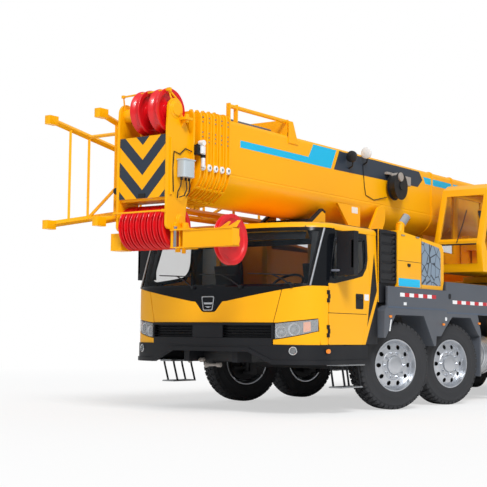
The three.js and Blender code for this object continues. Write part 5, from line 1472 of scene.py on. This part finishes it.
# outlines in the door's plane: station, then height
lowerSkin = [(-1.804, 1.275), (-0.872, 1.275), (-0.796, 1.551), (-0.796, 1.640), (-1.804, 1.640)]
sillSkin = [(-1.804, 0.878), (-0.986, 0.878), (-0.874, 1.267), (-1.804, 1.267)]
upperOuter = [(-1.804, 1.615), (-1.218, 1.712), (-0.965, 1.760), (-0.858, 1.870), (-0.815, 1.990), (-0.815, 2.312),
              (-1.590, 2.312)]
upperInner = [(-1.735, 1.690), (-1.225, 1.765), (-0.985, 1.812), (-0.898, 1.900), (-0.868, 2.010), (-0.868, 2.255),
              (-1.562, 2.255)]


def doorParts():
    panels = [plate(rounded(lowerSkin, 0.015), sidePoint, 0.010, 0.014),
              plate(rounded(sillSkin, 0.015), sidePoint, 0.010, 0.014),
              plate([(-1.804, 1.636), (-0.796, 1.636), (-0.796, 2.312), (-0.835, 2.312), (-0.835, 1.990),
                     (-0.878, 1.880), (-0.975, 1.782), (-1.218, 1.730), (-1.804, 1.637)], sidePoint, 0.007, 0.011)]
    frame = surround(rounded(upperOuter, 0.02), rounded(upperInner, 0.05), sidePoint, 0.0085, 0.016)
    pane = plate(rounded(upperInner, 0.05), sidePoint, 0.002, 0.006)
    return panels, frame, pane


doorPanels, doorFrame, doorPane = doorParts()
pocket = surround(rounded([(-1.155, 1.335), (-0.965, 1.335), (-0.965, 1.53), (-1.155, 1.53)], 0.02),
                  rounded([(-1.140, 1.350), (-0.980, 1.350), (-0.980, 1.515), (-1.140, 1.515)], 0.018),
                  sidePoint, 0.014, 0.008)
pocketBack = plate([(-1.145, 1.345), (-0.975, 1.345), (-0.975, 1.52), (-1.145, 1.52)], sidePoint, 0.0115, 0.006)
handle = tube([sidePoint(-1.135, 1.47, 0.014), sidePoint(-1.10, 1.475, 0.030), sidePoint(-1.02, 1.475, 0.030),
               sidePoint(-0.985, 1.47, 0.014)], 0.011, 10)
mirrorSizes = {"inner": 1.515, "outer": 1.765, "low": 1.740, "high": 2.290}


def mirrorParts(m):
    outline = rounded([(m["inner"], m["low"]), (m["outer"] - 0.004, m["low"]), (m["outer"] - 0.004, m["high"]),
                       (m["inner"], m["high"])], 0.07, 5)
    centre = Vector(((m["inner"] + m["outer"]) / 2, (m["low"] + m["high"]) / 2))

    def ring(y, share):
        return [(centre.x + (a - centre.x) * share, y, centre.y + (b - centre.y) * (1 - (1 - share) * 0.45))
                for a, b in outline]
    shell = loft([ring(-1.562, 0.97), ring(-1.585, 1.0), ring(-1.625, 1.0), ring(-1.655, 0.93), ring(-1.668, 0.78)])
    arms = [tube([(1.44, -1.727, 1.80), (1.49, -1.715, 1.80), (1.55, -1.66, 1.80), (1.61, -1.625, 1.80)], 0.016, 10),
            tube([(1.44, -1.597, 2.20), (1.49, -1.60, 2.20), (1.55, -1.615, 2.20), (1.61, -1.62, 2.20)], 0.016, 10)]
    glassPlate = prism("y", [(centre.x + (a - centre.x) * 0.9, centre.y + (b - centre.y) * 0.95) for a, b in outline],
                       -1.5625, -1.5585)
    panel = [(1.560, 1.835), (1.735, 1.805), (1.742, 2.215), (1.575, 2.205)]
    rim = [surround(rounded(panel, 0.03), rounded([(1.65 + (a - 1.65) * 0.93, 2.01 + (b - 2.01) * 0.97)
                                                   for a, b in panel], 0.028),
                    lambda a, b, out: (a, -1.668 - out, b), 0.0015, 0.01)]
    label = box(1.728, 1.758, -1.6700, -1.640, 1.835, 2.175)
    return [shell] + arms, [glassPlate], rim, [label]


mirrorShells, mirrorGlass, mirrorRims, mirrorLabels = mirrorParts(mirrorSizes)
whiteLabel = plate(rounded([(-0.935, 1.450), (-0.825, 1.450), (-0.825, 1.530), (-0.935, 1.530)], 0.006), sidePoint,
                   0.0115, 0.004)
hinges = [drum("z", 0.0142, z - 0.001, z + 0.051, (1.494, -1.81, 0), 14) for z in (1.02, 1.45)]
for side, body in (("left", "cab_door_left"), ("right", "cab_door_right")):
    refine(body, plastic, body, bevel=0.004, name=f"{body}_lining")
    makePiece(f"{body}_skin", onSide(side, doorPanels), yellow, body)
    makePiece(f"{body}_frame", onSide(side, [doorFrame]), pianoBlack, body, bevel=0.002)
    makePiece(f"{body}_pane", onSide(side, [doorPane]), glass, body, bevel=0)
    makePiece(f"{body}_handle", onSide(side, [pocket, pocketBack, handle] + hinges), plastic, body,
              bevel=0.002)
    makePiece(f"{body}_label", onSide(side, [whiteLabel]), white, body, bevel=0)
    makePiece(f"{body}_mirror", onSide(side, mirrorShells), mirrorPlastic, body, bevel=0.002)
    makePiece(f"{body}_mirror_glass", onSide(side, mirrorGlass), chrome, body, bevel=0)
    makePiece(f"{body}_mirror_outline", onSide(side, mirrorRims), plastic, body, bevel=0)
    makePiece(f"{body}_mirror_strip", onSide(side, mirrorLabels), white, body, bevel=0)
print("doors made")


# ---- inside the cab ----

refine("cab_shell", plastic, "carrier", bevel=0.004, name="cab_shell_lining")


def seatPad(x0, x1, y0, y1, z0, z1, crown, columns=10, rows=10):
    # a stuffed pad: edges drawn in between the corners, faces crowned, two sewn channels across
    def swell(u, v):
        return (1 - abs(2 * u - 1) ** 2.6) * (1 - abs(2 * v - 1) ** 2.6)

    def channel(v):
        return sum(0.010 * math.exp(-((v - c) / 0.03) ** 2) for c in (0.34, 0.66))

    def at(level, u, v):
        draw = 0.012 * (1 - abs(2 * v - 1) ** 2)
        x = x0 + draw + (x1 - x0 - 2 * draw) * u
        y = y0 + (y1 - y0) * v
        height = z1 - crown + crown * swell(u, v) - channel(v) if level else z0 + 0.01 * (1 - swell(u, v))
        return (x, y, height)
    points = [at(level, i / columns, j / rows) for level in (1, 0)
              for i in range(columns + 1) for j in range(rows + 1)]
    return points, slabFaces(columns, rows)


def seatParts(x):
    cushion = seatPad(x - 0.245, x + 0.245, -1.33, -0.84, 1.205, 1.345, 0.035)
    backPad = seatPad(x - 0.235, x + 0.235, 0.0, 0.64, 0.0, 0.10, 0.03)
    lean = Matrix.Translation((0, -0.775, 1.33)) @ Matrix.Rotation(math.radians(97), 4, "X")
    backPad = turned(backPad, lean)
    head = turned(seatPad(x - 0.12, x + 0.12, 0.0, 0.17, 0.0, 0.085, 0.025, 8, 8),
                  Matrix.Translation((0, -0.705, 1.965)) @ Matrix.Rotation(math.radians(92), 4, "X"))
    return [cushion, backPad, head]


for side, x in (("left", 0.75), ("right", -0.75)):
    pad = makePiece(f"cab_seat_{side}_padding", seatParts(x), cloth, "carrier", bevel=0, angle=55)
seatBases = [part for x in (0.75, -0.75) for part in
             (box(x - 0.17, x + 0.17, -1.24, -0.86, 0.985, 1.19), box(x - 0.22, x + 0.22, -1.30, -0.83, 1.185, 1.212),
              tube([(x - 0.08, -0.73, 1.93), (x - 0.08, -0.72, 2.02)], 0.007, 8),
              tube([(x + 0.08, -0.73, 1.93), (x + 0.08, -0.72, 2.02)], 0.007, 8))]
tray = [box(-1.24, 1.24, -1.838, -0.702, 0.971, 0.983)]
makePiece("cab_seat_bases", seatBases + tray, plastic, "carrier")


def dashOutline(rise):
    return [(-1.988, 1.202), (-1.832, 1.202), (-1.782, 1.458), (-1.852, 1.578 + rise), (-1.988, 1.548 + rise)]


dashParts = [prism("x", dashOutline(0), -1.218, 1.218), box(-1.095, 1.095, -1.892, -1.838, 0.985, 1.258),
             prism("x", [(-1.955, 1.550), (-1.80, 1.50), (-1.775, 1.545), (-1.86, 1.640), (-1.94, 1.640)], 0.48, 1.02)]
screenBezel = prism("x", [(-1.795, 1.49), (-1.775, 1.50), (-1.845, 1.60), (-1.865, 1.59)], -0.16, 0.14)
knobs = [drum("y", 0.016, -1.80, -1.775, (x, 0, 1.44), 12) for x in between(-0.05, 0.4, 5)]
makePiece("dashboard", dashParts, dash, "carrier", bevel=0.012, steps=3)
makePiece("dashboard_display", [screenBezel] + knobs, pianoBlack, "carrier")
wheelCentre, wheelTilt = Vector((0.75, -1.64, 1.64)), Matrix.Rotation(math.radians(37), 4, "X")
rimPath = [tuple(wheelCentre + wheelTilt @ Vector((0.222 * math.cos(a), 0.222 * math.sin(a), 0)))
           for a in between(0, 2 * math.pi, 40)[:-1]]
spokes = [tube([tuple(wheelCentre + wheelTilt @ Vector((0.21 * math.cos(a), 0.21 * math.sin(a), 0))),
                tuple(wheelCentre + wheelTilt @ Vector((0.05 * math.cos(a), 0.05 * math.sin(a), -0.02)))], 0.013, 8)
          for a in (math.radians(180), math.radians(0), math.radians(-90))]
hubPart = turned(drum("z", 0.065, -0.035, -0.005), Matrix.Translation(wheelCentre) @ wheelTilt)
column = tube([(0.75, -1.90, 1.30), (0.75, -1.66, 1.615)], 0.034, 16)
makePiece("steering_wheel", [tube(rimPath, 0.016, 10, closed=True), hubPart, column] + spokes, plastic, "carrier",
          bevel=0, replaces=["cab_interior"])
lining = [box(-1.40, -0.86, -0.662, -0.640, 1.20, 2.24), box(0.86, 1.38, -0.662, -0.640, 1.20, 2.24),
          box(-0.86, 0.86, -0.662, -0.640, 1.20, 1.68)]
makePiece("cab_rear_lining", lining, paleGrey, "carrier")
post = [box(1.05, 1.12, -0.70, -0.66, 1.62, 2.28), box(-1.12, -1.05, -0.70, -0.66, 1.62, 2.28)]
makePiece("cab_rear_posts", post, yellow, "carrier")
extinguisher = lathe("z", [(0, 0.0), (0.062, 0.0), (0.065, 0.02), (0.065, 0.30), (0.045, 0.345), (0.02, 0.36),
                           (0.02, 0.40), (0, 0.40)], 20, (0.28, -0.74, 1.00))
makePiece("cab_extinguisher", [extinguisher], darkRed, "carrier", bevel=0)
visor = [patch(lambda u, v, o: screenPoint(0.06 + 0.40 * u, 0.80 + 0.13 * v, -0.05 + o), 10, 2, 0.006),
         patch(lambda u, v, o: screenPoint(0.54 + 0.40 * u, 0.80 + 0.13 * v, -0.05 + o), 10, 2, 0.006)]
makePiece("sun_visors", visor, plastic, "carrier", bevel=0.002)
print("cab interior made")


# ---- engine cover, air intake and exhaust ----

coverSizes = {"front": -0.100, "rear": 1.290, "inner": 0.640, "outer": 1.520, "low": 1.6603, "top": 2.430,
              "intakeInner": 1.100, "intakeOuter": 1.484, "scoops": 5}


def onCover(a, b, out):
    return (coverSizes["outer"] + out, a, b)


def onDeck(a, b, out):
    return (deckSizes["half"] + out, a, b)


def intakeParts(c):
    shell = prism("z", rounded([(c["intakeInner"], -0.558), (c["intakeOuter"], -0.558), (c["intakeOuter"], -0.088),
                                (c["intakeInner"], -0.088)], 0.03, 4), 1.437, 2.414)
    lip = surround(rounded([(-0.552, 1.70), (-0.094, 1.70), (-0.094, 2.405), (-0.552, 2.405)], 0.03),
                   rounded([(-0.520, 1.735), (-0.125, 1.735), (-0.125, 2.370), (-0.520, 2.370)], 0.02),
                   lambda a, b, out: (c["intakeOuter"] + out, a, b), 0.022, 0.022)
    pitch = (2.365 - 1.740) / c["scoops"]
    scoop = prism("y", [(1.484, 0.0), (1.4885, 0.0), (1.505, pitch * 0.62), (1.505, pitch * 0.70),
                        (1.484, pitch * 0.78)], -0.515, -0.215)
    vent = prism("y", [(1.484, 0.0), (1.492, 0.0), (1.500, pitch * 0.30), (1.484, pitch * 0.34)], -0.205, -0.130)
    scoops = rowOf(scoop, c["scoops"], (0, 0, 1.745), (0, 0, pitch), plastic)
    vents = rowOf(vent, 2 * c["scoops"], (0, 0, 1.745), (0, 0, pitch / 2), plastic)
    return [shell, lip, scoops, vents]


for side in ("left", "right"):
    node = f"engine_cover_{side}"
    refine(node, yellow, "carrier", bevel=0.010, steps=3)
    makePiece(f"air_intake_{side}", onSide(side, intakeParts(coverSizes)), plastic, "carrier",
              bevel=0.004)
    cellPlate = plate([(0.600, 1.720), (1.190, 1.720), (1.190, 2.200), (1.130, 2.270), (0.600, 2.330)], onCover,
                      0.0012, 0.003)
    makePiece(f"cell_film_{side}", onSide(side, [cellPlate]), cells, "carrier", bevel=0)
    blank = plate(rounded([(-0.070, 1.672), (0.550, 1.672), (0.550, 1.782), (-0.070, 1.782)], 0.012), onCover, 0.002,
                  0.004)
    makePiece(f"cyan_plate_{side}", onSide(side, [blank]), cyan, "carrier", bevel=0)
    seams = [plate([(-0.098, 2.018), (0.590, 2.018), (0.590, 2.024), (-0.098, 2.024)], onCover, 0.0008, 0.003),
             plate([(0.588, 1.664), (0.594, 1.664), (0.594, 2.380), (0.588, 2.380)], onCover, 0.0009, 0.003)]
    latch = [box(1.520, 1.530, 0.18, 0.26, 1.955, 1.990), box(1.520, 1.534, 0.205, 0.235, 1.945, 1.958)]
    hingePins = [drum("y", 0.010, y, y + 0.09, (1.524, 0, 2.372), 12) for y in (0.0, 0.42)]
    makePiece(f"cover_seams_{side}", onSide(side, seams + latch), plastic, "carrier", bevel=0)
    makePiece(f"cover_hinges_{side}", onSide(side, hingePins), zinc, "carrier", bevel=0)
tip = [(0.063, 0.0), (0.069, 0.0), (0.069, 0.20), (0.060, 0.20), (0.060, 0.03)]
along = (Vector((1.0, 1.11, 2.74)) - Vector((1.0, 0.925, 2.59))).normalized()
toTip = Matrix.Translation((1.0, 0.955, 2.614)) @ along.to_track_quat("Z", "X").to_matrix().to_4x4()
makePiece("exhaust_tip", [turned(lathe("z", tip, 28, ring=True), toTip)], chrome, "carrier", bevel=0)
# painted shade: a black disc closes the tip 100 mm in and stands for the dark inside of the pipe
makePiece("exhaust_shade_disc", [turned(drum("z", 0.0595, 0.10, 0.112), toTip)], rubber, "carrier", bevel=0)
print("engine covers made")


# ---- decks: tape, lamps, labels and tread plates ----

deckSizes = {"half": 1.550, "tapeHeight": 0.052, "tapeSunk": 0.0005, "tapeProud": 0.0012, "tapeGap": 0.003}


def tapeRows(d, start, count, level, length, gap):
    # white and red blocks in turn along the deck's edge
    end, height = length - d["tapeGap"], d["tapeHeight"]
    block = prism("x", [(0, 0), (end, 0), (end, height), (0, height)], d["half"] - d["tapeSunk"],
                  d["half"] + d["tapeProud"])
    step = (0, 2 * length + gap, 0)
    whites = rowOf(block, count, (0, start, level), step, whiteTape)
    reds = rowOf(block, count, (0, start + length, level), step, redTape)
    return whites, reds


whiteRows, redRows = [], []
for start, count, level, length, gap in ((-0.085, 4, 1.530, 0.134, 0.0), (1.52, 5, 1.475, 0.150, 0.0),
                                         (3.60, 4, 1.475, 0.150, 0.30), (6.00, 5, 1.475, 0.150, 0.30)):
    whites, reds = tapeRows(deckSizes, start, count, level, length, gap)
    whiteRows.append(whites)
    redRows.append(reds)
for side in ("left", "right"):
    refine(f"deck_{side}", slate, "carrier", bevel=0.008, steps=2)
makePiece("white_tape_blocks", bothSides(whiteRows), whiteTape, "carrier", bevel=0)
makePiece("red_tape_blocks", bothSides(redRows), redTape, "carrier", bevel=0)
lampSpots = [(-0.360, 1.255), (1.215, 1.170), (2.420, 1.200), (4.20, 1.43), (5.54, 1.43), (6.90, 1.43), (8.25, 1.43)]
markers = [plate(rounded([(y - 0.030, z - 0.016), (y + 0.030, z - 0.016), (y + 0.030, z + 0.016),
                          (y - 0.030, z + 0.016)], 0.006), onDeck, 0.016, 0.017) for y, z in lampSpots]
makePiece("deck_marker_lamps", bothSides(markers), amber, "carrier", bevel=0.003)
strips = [plate([(-0.385, 1.060), (-0.355, 1.060), (-0.315, 1.215), (-0.345, 1.215)], onDeck, 0.0012, 0.003),
          plate(rounded([(1.275, 1.225), (1.335, 1.225), (1.335, 1.275), (1.275, 1.275)], 0.006), onDeck, 0.0012,
                0.003),
          plate([(0.02, 1.415), (0.10, 1.415), (0.10, 1.455), (0.02, 1.455)], onDeck, 0.0012, 0.003)]
makePiece("deck_labels", bothSides(strips), white, "carrier", bevel=0)
skirtFaces = [plate([(-0.415, 1.372), (1.315, 1.372), (1.315, 1.392), (-0.415, 1.392)], onDeck, 0.0035, 0.006),
              plate([(1.345, 1.332), (9.33, 1.332), (9.33, 1.352), (1.345, 1.352)], onDeck, 0.0035, 0.006)]
fillers = [plate(rounded([(1.385, 1.540), (1.465, 1.540), (1.465, 1.620), (1.385, 1.620)], 0.038, 5), onDeck, 0.004,
                 0.006)]
makePiece("deck_edge_rails", bothSides(skirtFaces), blueSlate, "carrier", bevel=0.001)
makePiece("deck_fillers", bothSides(fillers), plastic, "carrier", bevel=0.001)
treadBar = prism("y", [(-0.012, 0.0), (0.012, 0.0), (0.006, 0.0035), (-0.006, 0.0035)], -0.16, 0.16)
treadRows = [rowOf(treadBar, 9, (0.70, y, 1.7900), (0.095, 0, 0), zinc) for y in (2.9, 3.5, 8.0, 8.6)]
makePiece("deck_treads", bothSides(treadRows), slate, "carrier", bevel=0)
print("decks made")


# ---- fuel tank with straps ----

for side in ("left", "right"):
    bands = [lathe("y", [(0.310, y), (0.316, y), (0.316, y + 0.05), (0.310, y + 0.05)], 48, (1.190, 0, 0.720),
                   ring=True)
             for y in (2.70, 3.04)]
    rolls = [lathe("y", [(0.3095, y), (0.3135, y + 0.012), (0.3095, y + 0.024)], 48, (1.190, 0, 0.720), ring=True)
             for y in (2.80, 2.88, 2.96)]
    cap = [drum("z", 0.055, 1.015, 1.050, (1.19, 2.90, 0), 24)]
    refine(f"fuel_tank_{side}", zinc, "carrier", bevel=0.006)
    makePiece(f"tank_bands_{side}", onSide(side, bands + rolls + cap), alloy, "carrier", bevel=0.001)
print("tanks made")


# ---- boom rest: ladder frame over the roof, pad and horns ----

restSizes = {"low": 2.430, "high": 2.510, "plate": (0.500, 0.540)}


def restParts(c):
    legs = [box(0.342, 0.428, y + 0.002, y + 0.118, 1.3205, 2.448) for y in (-0.530, 1.100)]
    rails = [box(0.332, 0.438, -0.733, 1.323, c["low"] + 0.002, c["high"] - 0.002)]
    bars = [box(-0.558, 0.558, y + 0.002, y + 0.118, c["low"] + 0.004, c["high"] - 0.004)
            for y in (-0.735, 0.165, 0.940, 1.205)]
    x0, x1 = c["plate"]
    front = prism("x", [(-0.060, 2.868), (-0.030, 2.835), (0.330, 2.492), (0.575, 2.492), (0.575, 2.868)], x0, x1)
    rear = prism("x", rounded([(0.800, 2.492), (1.150, 2.492), (1.322, 2.700), (1.322, 2.940), (1.130, 2.940)],
                              0.10, 5), x0, x1)
    ribs = [box(0.44, x0, 0.455, 0.480, 2.492, 2.60), box(0.44, x0, 1.02, 1.045, 2.492, 2.62)]
    cradle = [prism("x", [(-0.600, 2.505), (-0.220, 2.505), (-0.220, 2.700), (-0.300, 2.735), (-0.560, 2.560)],
                    0.395, 0.440)]
    return bothSides(legs + rails + [front, rear] + ribs + cradle) + bars


makePiece("boom_rest_frame", restParts(restSizes), yellow, "carrier", replaces=["boom_rest"],
          bevel=0.005)
pads = [prism("x", [(-0.600, 2.512), (-0.560, 2.562), (-0.300, 2.737), (-0.220, 2.702), (-0.220, 2.735),
                    (-0.300, 2.770), (-0.600, 2.580)], 0.385, 0.444), box(0.02, 0.36, -0.50, -0.32, 2.505, 2.612)]
makePiece("boom_rest_pads", bothSides(pads), rubber, "carrier", bevel=0.006)
restLabels = [plate(rounded([(0.330, 2.760), (0.500, 2.760), (0.500, 2.850), (0.330, 2.850)], 0.01),
                    lambda a, b, out: (0.540 + out, a, b), 0.0012, 0.003)]
makePiece("boom_rest_labels", bothSides(restLabels), white, "carrier", bevel=0)
print("boom rest made")


# ---- operator's cab: panes, seals, lamps and rails ----

opFront, opLow, opHigh = 2.600, 2.010, 3.440


def opSide(x):
    return lambda a, b, out: (x + out, a, b)


sideWindow = [(opFront + 0.125, opLow + 0.475), (opFront + 0.200, opLow + 0.325), (3.255, opLow + 0.325),
              (3.255, opHigh - 0.125), (opFront + 0.415, opHigh - 0.125)]
panes = [plate(sideWindow, opSide(1.4985), 0.0, 0.006), plate(sideWindow, opSide(0.7215), 0.006, 0.006),
         plate([(3.375, opLow + 0.615), (4.305, opLow + 0.615), (4.305, opHigh - 0.145), (3.375, opHigh - 0.145)],
               opSide(0.7215), 0.006, 0.006),
         prism("x", [(2.604, 2.445), (2.612, 2.441), (2.925, 3.245), (2.917, 3.250)], 0.785, 1.435),
         prism("x", [(2.624, 2.135), (2.632, 2.134), (2.607, 2.442), (2.599, 2.441)], 0.785, 1.435),
         box(0.785, 1.435, 4.452, 4.458, opLow + 0.615, opHigh - 0.165),
         box(0.805, 1.415, 3.235, 4.255, opHigh - 0.024, opHigh - 0.018)]
refine("operator_cab", yellow, "superstructure", bevel=0.012, steps=3)
makePiece("operator_cab_panes", panes, glass, "superstructure", bevel=0)
refine("operator_cab_door", yellow, "operator_cab_door", bevel=0.008, steps=3)
doorPanes = [box(1.543, 1.549, 3.375, 4.285, opLow + 0.475, opHigh - 0.165),
             box(1.543, 1.549, 3.375, 4.285, opLow + 0.115, opLow + 0.415)]
makePiece("operator_door_panes", doorPanes, glass, "operator_cab_door", bevel=0)
seals = [surround(rounded([(3.368, opLow + 0.468), (4.292, opLow + 0.468), (4.292, opHigh - 0.158),
                           (3.368, opHigh - 0.158)], 0.04),
                  rounded([(3.400, opLow + 0.500), (4.260, opLow + 0.500), (4.260, opHigh - 0.190),
                           (3.400, opHigh - 0.190)], 0.04), opSide(1.563), 0.001, 0.012)]
doorHandle = [tube([(1.562, 3.44, 2.42), (1.585, 3.44, 2.44), (1.585, 3.44, 2.60), (1.562, 3.44, 2.62)], 0.010, 10)]
makePiece("operator_door_seals", seals + doorHandle, rubber, "operator_cab_door", bevel=0.001)
frontSeal = [tube([(0.79, 2.607, 2.440), (1.43, 2.607, 2.440)], 0.012, 8)]
wiper = [tube([(1.10, 2.600, 2.470), (1.16, 2.72, 2.80), (1.18, 2.80, 3.00)], 0.008, 8)]
makePiece("operator_cab_trim", frontSeal + wiper, rubber, "superstructure", bevel=0)
seatBack = seatPad(0.87, 1.35, 0.0, 0.58, 0.0, 0.10, 0.03)
seatBack = turned(seatBack, Matrix.Translation((0, 4.005, 2.535)) @ Matrix.Rotation(math.radians(94), 4, "X"))
opPad = makePiece("operator_seat_padding", [seatPad(0.855, 1.365, 3.425, 3.955, 2.415, 2.545, 0.03), seatBack], cloth,
                  "superstructure", bevel=0, angle=55)
print("operator's cab made")


# ---- everything else: the construction's own solids, edges broken ----

plainNodes = [
    ("chassis_frame", chassisBlack, "carrier", "chassis_black"),
    ("engine_block", warmGrey, "carrier", "engine_grey"),
    ("turntable", yellow, "superstructure", "crane_yellow"),
    ("counterweight", yellow, "superstructure", "crane_yellow"),
    ("main_winch_drum", rope, "main_winch", "rope_steel"),
    ("auxiliary_winch_drum", rope, "auxiliary_winch", "rope_steel"),
    ("luffing_cylinder", yellow, "luffing_cylinder", "crane_yellow"),
    ("luffing_rod", chrome, "luffing_rod", "rod_chrome"),
    ("jib", yellow, "boom", "crane_yellow"),
]
for node, material, body, slot in plainNodes:
    refine(node, material, body)
for axle in range(1, 6):
    refine(f"axle_{axle}", chassisBlack, "carrier")
for side in ("left", "right"):
    for axle in (1, 2):
        refine(f"knuckle_{side}_{axle}", chassisBlack, f"knuckle_{side}_{axle}")
    for end in ("front", "rear"):
        refine(f"outrigger_beam_{end}_{side}", yellow, f"outrigger_beam_{end}_{side}")
        refine(f"outrigger_jack_{end}_{side}", yellow, f"outrigger_jack_{end}_{side}")
print("plain pieces made")


# ---- camera, light and floor ----

cameraValues = {
    "position": (8.995, -17.531, 0.983),
    "yaw": 0.6312,
    "pitch": 0.0798,
    "roll": 0.0112,
    "lens": 84.84,
    "sensor": 36.0,
}
yaw, pitchUp, roll = cameraValues["yaw"], cameraValues["pitch"], cameraValues["roll"]
ahead = Vector((-math.sin(yaw) * math.cos(pitchUp), math.cos(yaw) * math.cos(pitchUp), math.sin(pitchUp)))
level = Vector((math.cos(yaw), math.sin(yaw), 0))
upright = level.cross(ahead)
right = level * math.cos(roll) + upright * math.sin(roll)
above = upright * math.cos(roll) - level * math.sin(roll)
cameraData = bpy.data.cameras.new("view")
cameraData.lens = cameraValues["lens"]
cameraData.sensor_width = cameraValues["sensor"]
cameraData.clip_end = 200
camera = bpy.data.objects.new("view", cameraData)
camera.matrix_world = Matrix((
    (right.x, above.x, -ahead.x, cameraValues["position"][0]),
    (right.y, above.y, -ahead.y, cameraValues["position"][1]),
    (right.z, above.z, -ahead.z, cameraValues["position"][2]),
    (0, 0, 0, 1)))
bpy.context.scene.collection.objects.link(camera)
bpy.context.scene.camera = camera

lightValues = {
    "sky": 0.62,
    "sun": 2.3,
    "sunFrom": (0.55, -0.50, 0.67),
    "sunAngle": 18,
    "floorWhite": 0.90,
}
world = bpy.data.worlds.new("studio")
bpy.context.scene.world = world
world.use_nodes = True
tree = world.node_tree
tree.nodes.clear()
rays = addNode(tree, "ShaderNodeLightPath")
coordinates = addNode(tree, "ShaderNodeTexCoord")
parts = addNode(tree, "ShaderNodeSeparateXYZ", links={"Vector": coordinates.outputs["Generated"]})
height = addNode(tree, "ShaderNodeMapRange", {"From Min": -0.35, "From Max": 0.9, "To Min": 0.40, "To Max": 1.0},
                 {"Value": parts.outputs["Z"]})
strength = addNode(tree, "ShaderNodeMath", {"operation": "MULTIPLY", 1: lightValues["sky"]},
                   {0: height.outputs["Result"]})
diffuseSky = addNode(tree, "ShaderNodeBackground", {"Color": (0.97, 0.985, 1.0, 1)},
                     {"Strength": strength.outputs[0]})
whiteSky = addNode(tree, "ShaderNodeBackground", {"Color": (1, 1, 1, 1), "Strength": 1.0})
seen = addNode(tree, "ShaderNodeMath", {"operation": "MAXIMUM"},
               {0: rays.outputs["Is Camera Ray"], 1: rays.outputs["Is Transmission Ray"]})
mixSky = addNode(tree, "ShaderNodeMixShader", links={0: seen.outputs[0], 1: diffuseSky.outputs[0],
                                                     2: whiteSky.outputs[0]})
addNode(tree, "ShaderNodeOutputWorld", links={"Surface": mixSky.outputs[0]})

sunData = bpy.data.lights.new("key light", "SUN")
sunData.energy = lightValues["sun"]
sunData.angle = math.radians(lightValues["sunAngle"])
sun = bpy.data.objects.new("key light", sunData)
sun.rotation_euler = Vector(lightValues["sunFrom"]).to_track_quat("Z", "Y").to_euler()
bpy.context.scene.collection.objects.link(sun)

floorMesh = bpy.data.meshes.new("studio floor")
reach = 60
floorMesh.from_pydata([(-reach, -reach, 0), (reach, -reach, 0), (reach, reach, 0), (-reach, reach, 0)], [],
                      [(0, 1, 2, 3)])
floorPaint = bpy.data.materials.new("white studio floor")
floorPaint.use_nodes = True
tree = floorPaint.node_tree
tree.nodes.clear()
coordinates = addNode(tree, "ShaderNodeTexCoord")
diffuse = addNode(tree, "ShaderNodeBsdfDiffuse", {"Color": (lightValues["floorWhite"],) * 3 + (1,)})
glow = addNode(tree, "ShaderNodeEmission", {"Color": (1, 1, 1, 1), "Strength": 1.0})
distance = addNode(tree, "ShaderNodeVectorMath", {"operation": "LENGTH"}, {0: coordinates.outputs["Object"]})
fade = addNode(tree, "ShaderNodeMapRange", {"From Min": 9.0, "From Max": 16.0, "To Min": 0.55, "To Max": 1.0},
               {"Value": distance.outputs["Value"]})
rays = addNode(tree, "ShaderNodeLightPath")
share = addNode(tree, "ShaderNodeMath", {"operation": "MULTIPLY"},
                {0: fade.outputs["Result"], 1: rays.outputs["Is Camera Ray"]})
blend = addNode(tree, "ShaderNodeMixShader", links={0: share.outputs[0], 1: diffuse.outputs[0], 2: glow.outputs[0]})
addNode(tree, "ShaderNodeOutputMaterial", links={"Surface": blend.outputs[0]})
floorMesh.materials.append(floorPaint)
floor = bpy.data.objects.new("studio floor", floorMesh)
bpy.context.scene.collection.objects.link(floor)
bpy.context.scene.view_settings.view_transform = "Standard"
print("camera, light and floor set")
